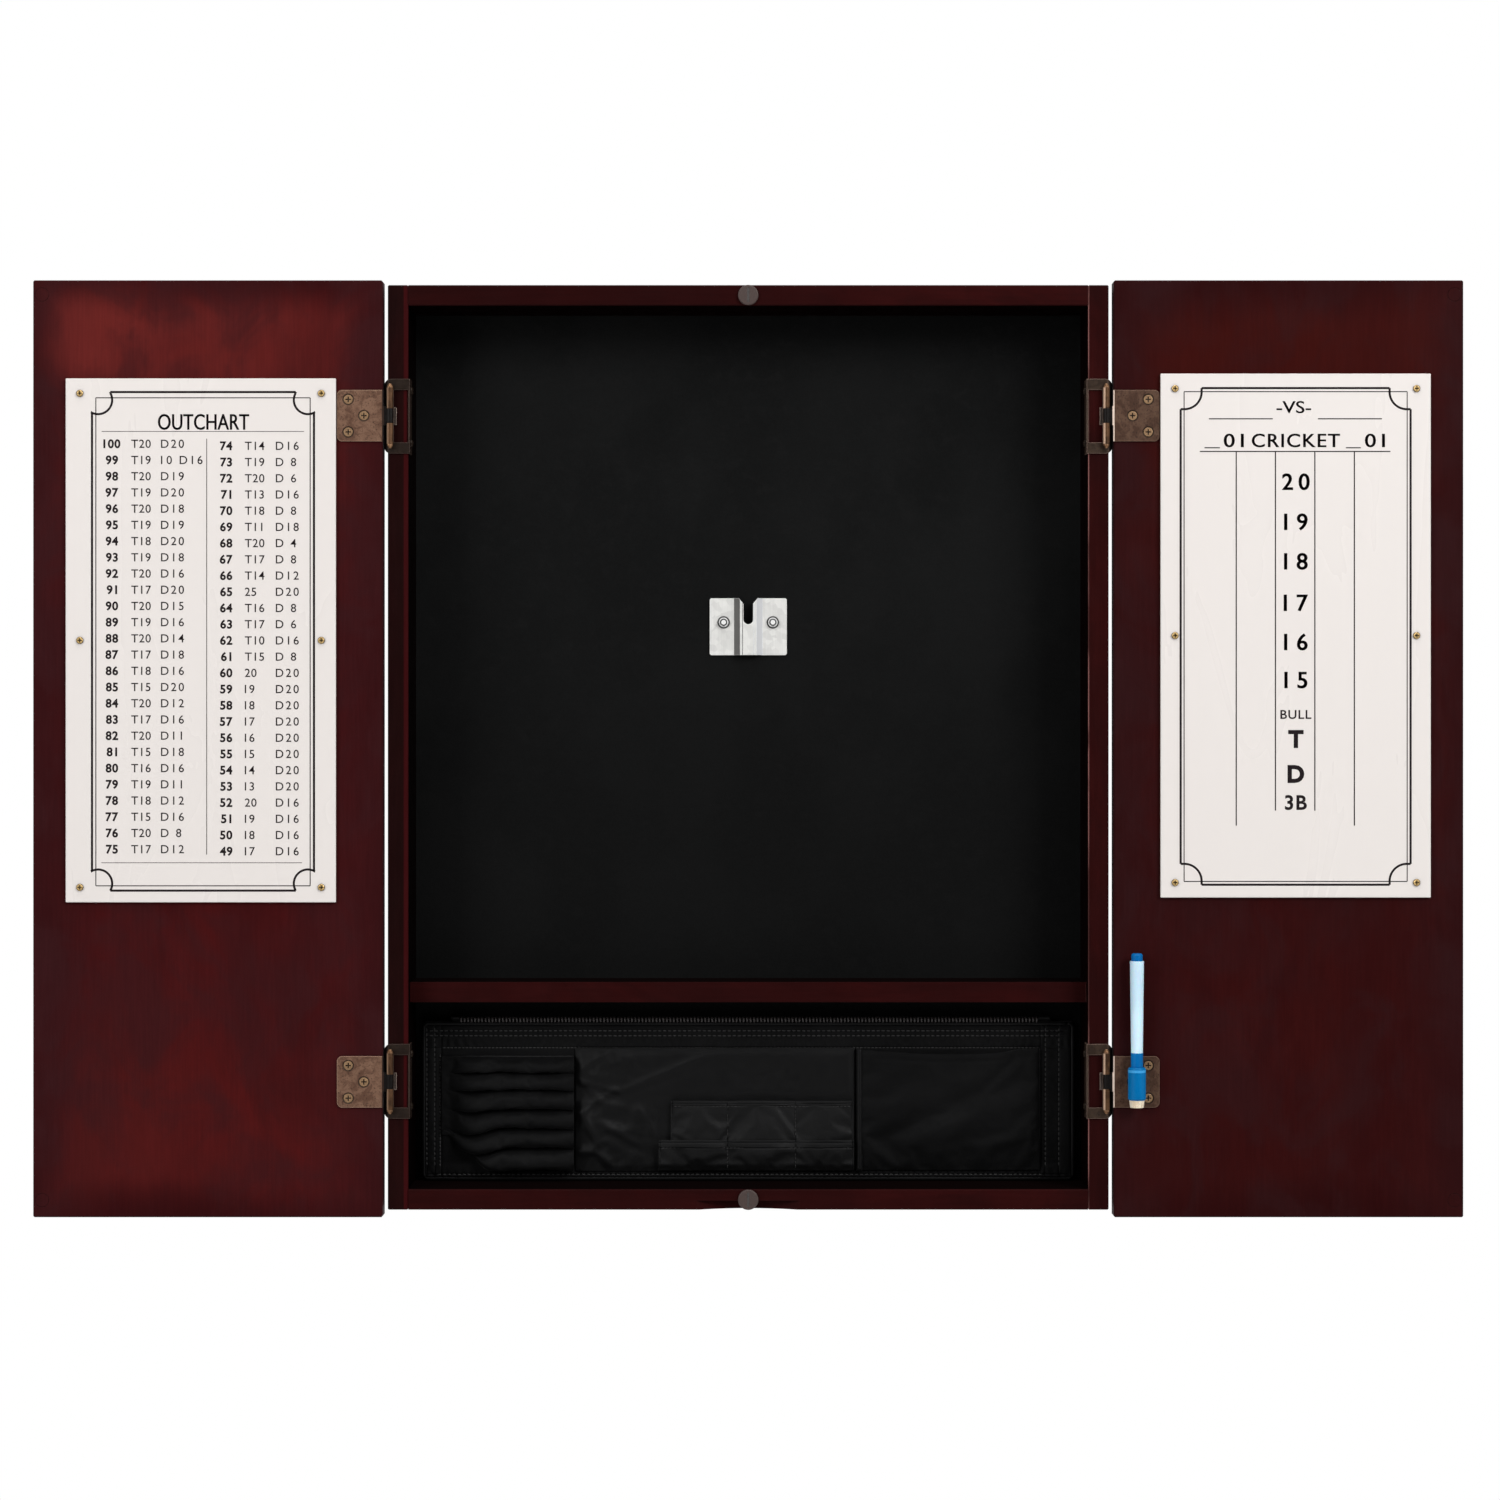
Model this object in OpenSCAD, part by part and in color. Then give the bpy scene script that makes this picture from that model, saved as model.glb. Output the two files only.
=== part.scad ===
// Wall cabinet for a bristle dartboard: a wooden case with a hanging bracket and a
// row of pockets, two doors that swing right round, a write-on board on each door,
// and a marker that clings to a hinge leaf.
// +X is to the right, +Y points into the wall and +Z is up.
// The origin is the dartboard's centre axis where it meets the wall.
// The doors are drawn open, turned 180 degrees from shut.

/* [Case] */
// Outside width of the case
case_w = 527; // [520:1:540]
// Outside height of the case
case_h = 676; // [670:1:690]
// Depth of the case from the wall to its front edges
case_d = 72; // [70:1:90]
// Thickness of the wooden panels
panel_t = 15; // [14:0.5:16]
// Height of the dartboard's centre above the middle of the case
bull_rise = 95.5; // [92:0.5:98]
// Clear height of the dartboard bay
board_bay_h = 495.5; // [490:0.5:500]
// How far the divider stands back from the front edges
divider_recess = 15; // [14:1:20]
// Thickness of the back panel
back_t = 4; // [3:0.5:5]
// Thickness of the wall rails behind the back panel
rail_t = 12; // [10:1:14]
// Height of each wall rail
rail_h = 45; // [40:1:48]
// Spacing of the wall screws, across and up
wall_screw_span = 406.4; // [400:0.1:410]
// Radius of the wall screw holes
wall_screw_r = 2.75; // [2.25:0.25:3.25]

/* [Doors] */
// Height of each door
door_h = 684; // [676:1:700]
// Height of the doors' middle above the middle of the case
door_rise = -1; // [-2:0.5:2]
// Thickness of each door
door_t = 15; // [14:0.5:18]
// Gap between the two doors when they are shut
meeting_gap = 2; // [1.5:0.5:4]
// Width of each write-on board
board_w = 197; // [190:1:200]
// Height of each write-on board
board_h = 382; // [370:1:390]
// Thickness of each write-on board
board_t = 3; // [2:0.5:3]
// Distance from a hinge pin out to the middle of its board
board_reach = 137.6; // [136:0.1:140]
// Height of the left board's middle above the middle of the case
left_board_rise = 78; // [70:0.5:85]
// Height of the right board's middle above the middle of the case
right_board_rise = 81.5; // [70:0.5:85]

/* [Hinges] */
// Height of the upper hinges above the middle of the case
hinge_rise = 242; // [235:1:250]
// Depth of the lower hinges below the middle of the case
hinge_drop = 244; // [235:1:250]
// Width of the door leaf, measured from the door's edge
leaf_w = 33.2; // [32:0.2:33.4]
// Height of the door leaf
leaf_h = 37.4; // [36:0.2:40]
// Height of the frame wing
wing_h = 54.5; // [54:0.5:58]
// Radius of the hinge barrel
barrel_r = 2.4; // [2.3:0.05:2.5]
// Radius of the hinge pin
pin_r = 1.2; // [1.0:0.05:1.3]

/* [Dartboard bracket] */
// Width of the bracket plate
bracket_w = 57.6; // [56:0.2:62]
// Height of the bracket plate
bracket_h = 42.5; // [41:0.5:46]
// Width of the slot that takes the dartboard's centre screw
slot_w = 7.2; // [6:0.1:7.4]

/* [Pockets and marker] */
// Width of the pocket organizer
organizer_w = 486; // [480:1:490]
// Height of the pocket organizer
organizer_h = 121.5; // [118:0.5:125]
// Radius of the marker's cap
cap_r = 6.5; // [6:0.1:6.5]
// Distance from the hinge pin to the marker's centre line
marker_reach = 21.2; // [21.1:0.1:23]

/* [Hidden] */

$fn = 48;
over = 1;          // how far a cutter runs past the face that it opens
fit = 0.05;        // clearance of a shank, a dowel or a pin in its hole

wood = [0.24, 0.07, 0.08];
black = [0.07, 0.07, 0.07];
bronze = [0.50, 0.36, 0.27];
zinc = [0.80, 0.81, 0.79];
nylon = [0.10, 0.10, 0.11];
white = [0.92, 0.91, 0.89];

// Case: heights are measured from the dartboard's centre
mid_z = -bull_rise;
top_z = mid_z + case_h / 2;
bottom_z = mid_z - case_h / 2;
inner_w = case_w - 2 * panel_t;
front_y = -case_d;
back_y = -rail_t - back_t;
divider_z = top_z - panel_t - board_bay_h - panel_t;
housing = 5;       // depth of the grooves and housings that hold the panels
case_ease = 0.8;   // chamfer along the panels' edges

dowel_r = 4;
dowel_l = 28;
dowel_seat = 9;    // length of a dowel inside the side panel
dowel_ys = [front_y + 15, front_y + 42];

scoop_w = 75;
scoop_d = 9;
scoop_h = 6.5;

backer_w = 96;
backer_h = 64;

// Dartboard bracket, in heights above the back panel
bracket_top = 16;
sheet_t = 1.5;
channel_base = 10.7;
channel_top = 6.15;
channel_h = 6;
rib_half = 3.9;
rib_h = 0.6;
mouth_half = 7.1;
mouth_drop = 4.3;
bracket_screw_x = 18.4;
bracket_screw_z = -2;

// Magnet catches
catch_r = 7.4;
catch_proud = 2.2;
catch_stem_r = 5.5;
catch_stem_l = 10;
magnet_w = 1.8;
magnet_h = 10.6;
magnet_l = 8;

// Hinges: the pin stands in front of the case and just inside its outer face
hinge_zs = [mid_z + hinge_rise, mid_z - hinge_drop];
pin_x = case_w / 2 - 2;
pin_forward = 3.4;
pin_y = front_y - pin_forward;
bore_r = pin_r + fit;
wing_t = 1.2;
arm_h = 8;
flange_d = 14;
lip_reach = 4.7;
lip_drop = 1.1;
lip_corner = 5.2;
knuckle_half = 5.2;        // half the length of the door's knuckle
knuckle_gap = 0.2;
barrel_half = 20.6;
tip_h = 3;
tip_r = 2.1;
wing_screw_z = 19.2;
wing_screw_y = front_y + 8;
spring_w = 2;
spring_t = 0.5;
spring_half = 5.8;
spring_bow_r = 24.4;

// Door leaves: the door's inner face is this far in front of the pin when open
closed_gap = 3;
leaf_t = 1.3;
leaf_corner = 3.8;
leaf_overhang = 0.4;       // how far the leaf runs past the door's edge towards the pin
tongue_half = 7;
pin_to_door = 5.3;
door_x = pin_x + pin_to_door;
door_w = pin_x - pin_to_door - meeting_gap / 2;
door_low = mid_z + door_rise - door_h / 2;
door_y = pin_y - (pin_forward - closed_gap);
leaf_face_y = door_y - leaf_t;
leaf_screws = [
    [leaf_w - 8.2, 11.9],
    [leaf_w - 8.2, -11.9],
    [13.6, 0]
];

route_inset = 34;          // routed line on the outer face of each door
route_w = 6;
route_d = 2.5;
strike_r = 5;
strike_t = 1.5;
strike_edge = 6.5;

board_screw_x = 88;
board_screw_zs = [-180, 0, 180];

// Screws: head radius, head height, shank radius, shank length
wing_screw = [3, 1.4, 1.4, 10];
bracket_screw = [4.2, 3.2, 1.9, 12];
board_screw = [2.6, 1.4, 1.3, 10];
leaf_screw = [3.3, 1.1, 1.4, 12];

// Pocket organizer, in front of the back panel
hook_t = 2;
pad_t = 8;
binding_t = 10;
binding_w = 7;
soft_edge = 2.5;
small_t = 7;

// Pockets: left, right, bottom and top of each
dart_block = [-233, -129, -409.5, -324.5];
rear_row = [-57.5, 78, -410.5, -358.5];
front_row = [-66.5, 78, -410.5, -387];
large_place = [81.5, 216.5, -410.5, -320.5];
organizer_z = bottom_z + panel_t + 0.5;
pad_y = back_y - hook_t;
pad_front = pad_y - pad_t;

// Marker: heights above the middle of the lower right hinge
pad_half = 3.6;            // half the width of the magnet's pad on the cap
pad_reach = 6.6;
pad_l = 12;
magnet_proud = 0.3;        // how far the magnet stands out of the pad
cling_gap = 0.15;          // left between the magnet and the hinge leaf
marker_x = pin_x + marker_reach;
marker_y = leaf_face_y - pad_reach - magnet_proud - cling_gap;
marker_z = hinge_zs[1];
cap_low = -12.5;
cap_high = 11.2;
socket_d = 12;
felt_r = 5.6;
felt_end_r = 4.9;
felt_drop = 5.4;
felt_seat = 3;
neck_r = 4.4;
neck_top = 21.7;
plug_r = 4.2;
barrel_low_r = 4.3;
barrel_high_r = 5.1;
barrel_top = 88.6;
barrel_wall = 0.9;
end_r = 4.1;
end_top = 94.1;
nib_r = 1.5;
cap_bore_r = 2.3;
pen_magnet_r = 3;
pen_magnet_t = 2;

// A rectangle with its four corners cut off
module eased_rect(a, b, c) {
    polygon([[c, 0], [a - c, 0], [a, c], [a, b - c], [a - c, b], [c, b], [0, b - c], [0, c]]);
}

// A box with a chamfer along every edge, from its lowest corner
module eased_box(x, y, z, c) {
    intersection() {
        linear_extrude(z) eased_rect(x, y, c);
        rotate([90, 0, 90]) linear_extrude(x) eased_rect(y, z, c);
        translate([0, y, 0]) rotate([90, 0, 0]) linear_extrude(y) eased_rect(x, z, c);
    }
}

// A board that runs across the case, its long edges chamfered
module eased_rail(x, y, z, c) {
    rotate([90, 0, 90]) linear_extrude(x) eased_rect(y, z, c);
}

// A rectangle with round corners, centred
module round_rect(a, b, r) {
    union() {
        square([a - 2 * r, b], center = true);
        square([a, b - 2 * r], center = true);
        for (u = [-1, 1], v = [-1, 1]) translate([u * (a / 2 - r), v * (b / 2 - r)]) circle(r);
    }
}

// Crossed driver recess, cut down from z = 0
module cross_recess(r, depth) {
    for (turn = [0, 90]) rotate([0, 0, turn])
        translate([-r * 0.62, -r * 0.14, -depth]) cube([r * 1.24, r * 0.28, depth + over]);
}

// Screw with a domed head that stands on z = 0 and a shank that goes down
module pan_screw(spec) {
    difference() {
        union() {
            cylinder(h = spec[1] * 0.6, r = spec[0]);
            translate([0, 0, spec[1] * 0.6])
                cylinder(h = spec[1] * 0.4, r1 = spec[0], r2 = spec[0] * 0.7);
            translate([0, 0, -spec[3]]) cylinder(h = spec[3] + 0.1, r = spec[2]);
        }
        translate([0, 0, spec[1]]) cross_recess(spec[0], spec[1] * 0.7);
    }
}

// Screw with a six-sided head on a washer face, standing on z = 0
module hex_screw(spec) {
    cylinder(h = spec[1] * 0.3, r = spec[0]);
    cylinder(h = spec[1], r = spec[0] * 0.74, $fn = 6);
    translate([0, 0, -spec[3]]) cylinder(h = spec[3] + 0.1, r = spec[2]);
}

// Screw with a countersunk head whose top is at z = 0
module flat_screw(spec) {
    difference() {
        union() {
            translate([0, 0, -spec[1]]) cylinder(h = spec[1], r1 = spec[2] + 0.2, r2 = spec[0]);
            translate([0, 0, -spec[3]]) cylinder(h = spec[3] - spec[1] + 0.1, r = spec[2]);
        }
        cross_recess(spec[0], spec[1] * 0.6);
    }
}

// Straight hole for a shank, from z = 0 down
module pilot(spec) {
    translate([0, 0, -spec[3] - 0.5]) cylinder(h = spec[3] + 0.5 + over, r = spec[2] + fit);
}

module left() mirror([1, 0, 0]) children();

// Places a child's z axis along -Y, towards the viewer
module facing_out() rotate([90, 0, 0]) children();

// ---- Case ----

module at_dowels() {
    for (z = [top_z - panel_t / 2, bottom_z + panel_t / 2], y = dowel_ys)
        translate([inner_w / 2, y, z]) rotate([0, 90, 0]) children();
}

module wing_screw_places(zs) {
    for (z = zs, side = [-1, 1])
        translate([inner_w / 2, wing_screw_y, z + side * wing_screw_z])
            rotate([0, -90, 0]) children();
}

// The right side panel; the left one is its mirror image
module side_panel() {
    color(wood) difference() {
        translate([inner_w / 2, front_y, bottom_z]) eased_box(panel_t, case_d, case_h, case_ease);
        translate([inner_w / 2 - over, back_y, bottom_z + panel_t - housing])
            cube([housing + over, back_t, case_h - 2 * (panel_t - housing)]);
        translate([inner_w / 2 - over, front_y + divider_recess, divider_z])
            cube([housing + over, case_d - rail_t - back_t - divider_recess, panel_t]);
        at_dowels() translate([0, 0, -over]) cylinder(h = dowel_seat + over + 0.5, r = dowel_r);
        wing_screw_places(hinge_zs) pilot(wing_screw);
    }
}

module left_side_panel() left() side_panel();
module right_side_panel() side_panel();

// Blind seats for the dowels in the end of a horizontal panel
module dowel_seats() {
    seat = dowel_l - dowel_seat + 0.5;
    for (flip = [0, 1]) mirror([flip, 0, 0])
        at_dowels() translate([0, 0, -seat]) cylinder(h = seat + over, r = dowel_r);
}

module catch_seat(z) {
    translate([0, front_y, z]) facing_out()
        translate([0, 0, -catch_stem_l - 0.5]) cylinder(h = catch_stem_l + 0.5 + over,
                                                        r = catch_stem_r + fit);
}

module back_groove() {
    translate([-inner_w / 2 - over, back_y, bottom_z + panel_t - housing])
        cube([inner_w + 2 * over, back_t, case_h - 2 * (panel_t - housing)]);
}

module top_panel() {
    color(wood) difference() {
        translate([-inner_w / 2, front_y, top_z - panel_t])
            eased_rail(inner_w, case_d, panel_t, case_ease);
        back_groove();
        dowel_seats();
        catch_seat(top_z - panel_t / 2);
    }
}

module bottom_panel() {
    scoop_r = (pow(scoop_w / 2, 2) + pow(scoop_d, 2)) / (2 * scoop_d);
    color(wood) difference() {
        translate([-inner_w / 2, front_y, bottom_z])
            eased_rail(inner_w, case_d, panel_t, case_ease);
        back_groove();
        dowel_seats();
        catch_seat(bottom_z + panel_t / 2);
        translate([0, front_y + scoop_d - scoop_r, bottom_z - over])
            cylinder(h = scoop_h + over, r = scoop_r, $fn = 96);
    }
}

module divider_shelf() {
    span = inner_w + 2 * housing;
    color(wood) translate([-span / 2, front_y + divider_recess, divider_z])
        cube([span, case_d - rail_t - back_t - divider_recess, panel_t]);
}

module bracket_screw_places() {
    for (x = [-1, 1])
        translate([x * bracket_screw_x, back_y - sheet_t, bracket_screw_z])
            facing_out() children();
}

module back_panel() {
    span = inner_w + 2 * housing;
    color(black) difference() {
        translate([-span / 2, back_y, bottom_z + panel_t - housing])
            cube([span, back_t, case_h - 2 * (panel_t - housing)]);
        bracket_screw_places() pilot(bracket_screw);
    }
}

// One board against the wall, drilled for two wall screws behind the unbroken back panel
module wall_rail(z) {
    color(wood) difference() {
        translate([-inner_w / 2, -rail_t, z - rail_h / 2]) cube([inner_w, rail_t, rail_h]);
        for (x = [-1, 1]) translate([x * wall_screw_span / 2, over, z])
            facing_out() cylinder(h = rail_t + 2 * over, r = wall_screw_r);
    }
}

module upper_wall_rail() wall_rail(wall_screw_span / 2);
module lower_wall_rail() wall_rail(-wall_screw_span / 2);

// Block behind the back panel that the bracket's screws bite into
module bracket_backer() {
    color(wood) difference() {
        translate([-backer_w / 2, -rail_t, bracket_top - bracket_h / 2 - backer_h / 2])
            cube([backer_w, rail_t, backer_h]);
        bracket_screw_places() pilot(bracket_screw);
    }
}

module corner_dowels() {
    color("tan") for (flip = [0, 1]) mirror([flip, 0, 0])
        at_dowels() translate([0, 0, dowel_seat - dowel_l])
            cylinder(h = dowel_l, r = dowel_r - fit);
}

// ---- Dartboard bracket ----

// Folded section of the bracket: flat wings and a raised channel with a shallow rib
module bracket_section() {
    polygon([
        [-bracket_w / 2, 0], [-bracket_w / 2, sheet_t],
        [-channel_base, sheet_t], [-channel_top, channel_h],
        [-rib_half - rib_h, channel_h], [-rib_half, channel_h + rib_h],
        [rib_half, channel_h + rib_h], [rib_half + rib_h, channel_h],
        [channel_top, channel_h], [channel_base, sheet_t],
        [bracket_w / 2, sheet_t], [bracket_w / 2, 0],
        [channel_base - 0.8, 0], [channel_top - 0.8, channel_h - sheet_t],
        [0.8 - channel_top, channel_h - sheet_t], [0.8 - channel_base, 0]
    ]);
}

module dartboard_bracket() {
    color(zinc) difference() {
        intersection() {
            translate([0, back_y, bracket_top - bracket_h])
                linear_extrude(bracket_h) mirror([0, 1]) bracket_section();
            translate([0, back_y + over, bracket_top - bracket_h / 2]) facing_out()
                linear_extrude(channel_h + rib_h + 2 * over) round_rect(bracket_w, bracket_h, 1.5);
        }
        translate([0, back_y - 2 * over, 0]) facing_out() {
            cylinder(h = 3 * channel_h, r = slot_w / 2);
            translate([-slot_w / 2, 0, 0]) cube([slot_w, bracket_top + over, 3 * channel_h]);
            linear_extrude(3 * channel_h) polygon([
                [-slot_w / 2, bracket_top - mouth_drop], [-mouth_half, bracket_top],
                [-mouth_half, bracket_top + over], [mouth_half, bracket_top + over],
                [mouth_half, bracket_top], [slot_w / 2, bracket_top - mouth_drop]
            ]);
        }
        bracket_screw_places() translate([0, 0, -2 * sheet_t])
            cylinder(h = 4 * sheet_t, r = bracket_screw[2] + 0.3);
    }
}

module bracket_screws() color("silver") bracket_screw_places() hex_screw(bracket_screw);

// ---- Magnet catches ----

module magnet_place(z) {
    translate([0, front_y - catch_proud, z]) facing_out()
        translate([-magnet_w / 2, -magnet_h / 2, -magnet_l - 0.1]) children();
}

module magnet_catch(z) {
    color([0.42, 0.36, 0.34]) difference() {
        translate([0, front_y, z]) facing_out() {
            cylinder(h = catch_proud - 0.6, r = catch_r);
            translate([0, 0, catch_proud - 0.6]) cylinder(h = 0.6, r1 = catch_r, r2 = catch_r - 0.6);
            translate([0, 0, -catch_stem_l]) cylinder(h = catch_stem_l + 0.1, r = catch_stem_r);
        }
        magnet_place(z) cube([magnet_w, magnet_h, magnet_l + over]);
    }
}

module catch_magnet(z) color([0.2, 0.2, 0.2]) magnet_place(z) cube([magnet_w, magnet_h, magnet_l]);

module upper_magnet_catch() magnet_catch(top_z - panel_t / 2);
module lower_magnet_catch() magnet_catch(bottom_z + panel_t / 2);
module upper_catch_magnet() catch_magnet(top_z - panel_t / 2);
module lower_catch_magnet() catch_magnet(bottom_z + panel_t / 2);

// ---- Hinges ----

// Folded section of the frame wing: inner flange, face strip and outer lip
module wing_section() {
    inner_x = inner_w / 2;
    outer_x = case_w / 2;
    polygon([
        [inner_x - wing_t, front_y - wing_t],
        [outer_x - 0.6, front_y - wing_t],
        [pin_x + lip_reach, front_y - wing_t + 2],
        [pin_x + lip_reach, front_y - wing_t + 2 + wing_t + lip_drop],
        [outer_x + 0.2, front_y + 0.7],
        [outer_x, front_y],
        [inner_x, front_y],
        [inner_x, front_y + flange_d],
        [inner_x - wing_t, front_y + flange_d]
    ]);
}

// Frame wing of one right-hand hinge, centred on height z
module hinge_wing(z) {
    span = pin_x + lip_reach + over;
    knuckle_l = barrel_half - knuckle_half - knuckle_gap;
    color(bronze) translate([0, 0, z]) difference() {
        union() {
            intersection() {
                translate([0, 0, -wing_h / 2]) linear_extrude(wing_h) wing_section();
                facing_out() translate([0, 0, case_d - flange_d - over])
                    linear_extrude(flange_d + 6) union() {
                        translate([0, -wing_h / 2]) square([span - over - lip_corner, wing_h]);
                        translate([0, lip_corner - wing_h / 2])
                            square([span, wing_h - 2 * lip_corner]);
                        for (v = [-1, 1])
                            translate([span - over - lip_corner, v * (wing_h / 2 - lip_corner)])
                                circle(lip_corner);
                    }
            }
            for (flip = [0, 1]) mirror([0, 0, flip])
                translate([pin_x, pin_y, knuckle_half + knuckle_gap]) {
                    cylinder(h = knuckle_l, r = barrel_r);
                    translate([-1.3, 0, 0]) cube([2.6, pin_forward - 0.6, knuckle_l]);
                }
        }
        translate([inner_w / 2, front_y - 2 * wing_t, arm_h - wing_h / 2])
            cube([pin_x - barrel_r - inner_w / 2, 3 * wing_t, wing_h - 2 * arm_h]);
        translate([pin_x, pin_y, -wing_h / 2]) cylinder(h = wing_h, r = bore_r);
        translate([pin_x, pin_y, -knuckle_half - knuckle_gap])
            cylinder(h = 2 * (knuckle_half + knuckle_gap), r = barrel_r + 0.3);
        for (v = [-1, 1]) translate([inner_w / 2 - 2 * wing_t, wing_screw_y, v * wing_screw_z])
            rotate([0, 90, 0]) cylinder(h = 3 * wing_t, r = wing_screw[2] + 0.4);
    }
}

module hinge_wing_upper_left() left() hinge_wing(hinge_zs[0]);
module hinge_wing_lower_left() left() hinge_wing(hinge_zs[1]);
module hinge_wing_upper_right() hinge_wing(hinge_zs[0]);
module hinge_wing_lower_right() hinge_wing(hinge_zs[1]);

// Hinge pin with a bullet tip at each end
module hinge_pin(z) {
    color(bronze) translate([pin_x, pin_y, z]) for (flip = [0, 1]) mirror([0, 0, flip]) {
        cylinder(h = barrel_half + 0.1, r = pin_r);
        translate([0, 0, barrel_half]) cylinder(h = 1, r = tip_r);
        translate([0, 0, barrel_half + 1]) cylinder(h = tip_h - 1, r1 = tip_r, r2 = 0.9);
    }
}

module hinge_pin_upper_left() left() hinge_pin(hinge_zs[0]);
module hinge_pin_lower_left() left() hinge_pin(hinge_zs[1]);
module hinge_pin_upper_right() hinge_pin(hinge_zs[0]);
module hinge_pin_lower_right() hinge_pin(hinge_zs[1]);

// Bowed leaf spring beside the knuckle, which pulls the door shut over the last degrees
module hinge_spring(z) {
    crest_y = front_y - wing_t - 0.3;
    color("silver") translate([pin_x - barrel_r - 0.2 - spring_w, 0, z]) {
        intersection() {
            translate([0, crest_y + spring_bow_r, 0]) rotate([0, 90, 0]) difference() {
                cylinder(h = spring_w, r = spring_bow_r, $fn = 180);
                translate([0, 0, -over])
                    cylinder(h = spring_w + 2 * over, r = spring_bow_r - spring_t, $fn = 180);
            }
            translate([-over, crest_y - over, -spring_half])
                cube([spring_w + 2 * over, 4, 2 * spring_half]);
        }
        for (v = [-1, 1]) translate([0, front_y - 0.85, v * spring_half - 0.5])
            cube([spring_w, 0.85, 1]);
    }
}

module hinge_spring_upper_left() left() hinge_spring(hinge_zs[0]);
module hinge_spring_lower_left() left() hinge_spring(hinge_zs[1]);
module hinge_spring_upper_right() hinge_spring(hinge_zs[0]);
module hinge_spring_lower_right() hinge_spring(hinge_zs[1]);

module wing_screws() {
    color(bronze) wing_screw_places(hinge_zs) translate([0, 0, wing_t]) pan_screw(wing_screw);
}

module wing_screws_left() left() wing_screws();
module wing_screws_right() wing_screws();

// ---- Doors, drawn for the right-hand side ----

module leaf_screw_places(z) {
    for (p = leaf_screws) translate([door_x + p[0], leaf_face_y, z + p[1]]) facing_out() children();
}

module leaf_outline() {
    half = leaf_h / 2;
    union() {
        translate([-leaf_overhang, -half]) square([leaf_w - leaf_corner + leaf_overhang, leaf_h]);
        translate([0, leaf_corner - half]) square([leaf_w, leaf_h - 2 * leaf_corner]);
        for (v = [-1, 1]) translate([leaf_w - leaf_corner, v * (half - leaf_corner)])
            circle(leaf_corner);
        translate([barrel_r + 0.5 - pin_to_door, -tongue_half])
            square([pin_to_door, 2 * tongue_half]);
        translate([0.4 - pin_to_door, -knuckle_half]) square([pin_to_door, 2 * knuckle_half]);
    }
}

module door_leaf(z) {
    color(bronze) translate([0, 0, z]) difference() {
        union() {
            translate([door_x, door_y, 0]) facing_out() linear_extrude(leaf_t) leaf_outline();
            translate([pin_x, pin_y, -knuckle_half]) cylinder(h = 2 * knuckle_half, r = barrel_r);
        }
        translate([pin_x, pin_y, -leaf_h]) cylinder(h = 2 * leaf_h, r = bore_r);
        leaf_screw_places(0) {
            translate([0, 0, -2 * leaf_t]) cylinder(h = 3 * leaf_t, r = leaf_screw[2] + 0.5);
            translate([0, 0, -leaf_t - 0.1])
                cylinder(h = leaf_t + 0.3, r1 = leaf_screw[2] + 0.6, r2 = leaf_screw[0] + 0.9);
        }
    }
}

module screws_in_leaves() {
    color(bronze) for (z = hinge_zs) leaf_screw_places(z)
        translate([0, 0, -0.15]) flat_screw(leaf_screw);
}

module at_board(rise) translate([pin_x + board_reach, door_y, mid_z + rise]) children();

module board_screw_places(rise) {
    at_board(rise) for (u = [-1, 1], z = board_screw_zs)
        translate([u * board_screw_x, -board_t, z]) facing_out() children();
}

module strike_places() {
    for (v = [-1, 1])
        translate([door_x + door_w - strike_edge, door_y, mid_z + v * (case_h - panel_t) / 2])
            facing_out() children();
}

// Line routed into the outer face, which the shut door shows
module routed_line() {
    translate([door_x + route_inset, door_y + door_t - route_d, door_low + route_inset])
        difference() {
            cube([door_w - 2 * route_inset, route_d + over, door_h - 2 * route_inset]);
            translate([route_w, -over, route_w])
                cube([door_w - 2 * route_inset - 2 * route_w, route_d + 3 * over,
                      door_h - 2 * route_inset - 2 * route_w]);
        }
}

module door_panel(rise) {
    color(wood) difference() {
        translate([door_x, door_y, door_low]) eased_box(door_w, door_t, door_h, 1);
        routed_line();
        for (z = hinge_zs) leaf_screw_places(z) pilot(leaf_screw);
        board_screw_places(rise) pilot(board_screw);
        strike_places() translate([0, 0, -strike_t]) cylinder(h = strike_t + over, r = strike_r);
    }
}

module write_on_board(rise) {
    color(white) difference() {
        at_board(rise) translate([-board_w / 2, -board_t, -board_h / 2])
            eased_box(board_w, board_t, board_h, 0.4);
        board_screw_places(rise) translate([0, 0, -2 * board_t])
            cylinder(h = 3 * board_t, r = board_screw[2] + 0.3);
    }
}

module screws_in_board(rise) color("goldenrod") board_screw_places(rise) pan_screw(board_screw);

module strike_discs() {
    color(wood) strike_places() translate([0, 0, -strike_t])
        cylinder(h = strike_t, r = strike_r - fit);
}

module left_door_panel() left() door_panel(left_board_rise);
module left_board() left() write_on_board(left_board_rise);
module left_board_screws() left() screws_in_board(left_board_rise);
module left_leaf_upper() left() door_leaf(hinge_zs[0]);
module left_leaf_lower() left() door_leaf(hinge_zs[1]);
module left_leaf_screws() left() screws_in_leaves();
module left_strike_discs() left() strike_discs();

module right_door_panel() door_panel(right_board_rise);
module right_board() write_on_board(right_board_rise);
module right_board_screws() screws_in_board(right_board_rise);
module right_leaf_upper() door_leaf(hinge_zs[0]);
module right_leaf_lower() door_leaf(hinge_zs[1]);
module right_leaf_screws() screws_in_leaves();
module right_strike_discs() strike_discs();

// ---- Pocket organizer ----

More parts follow.
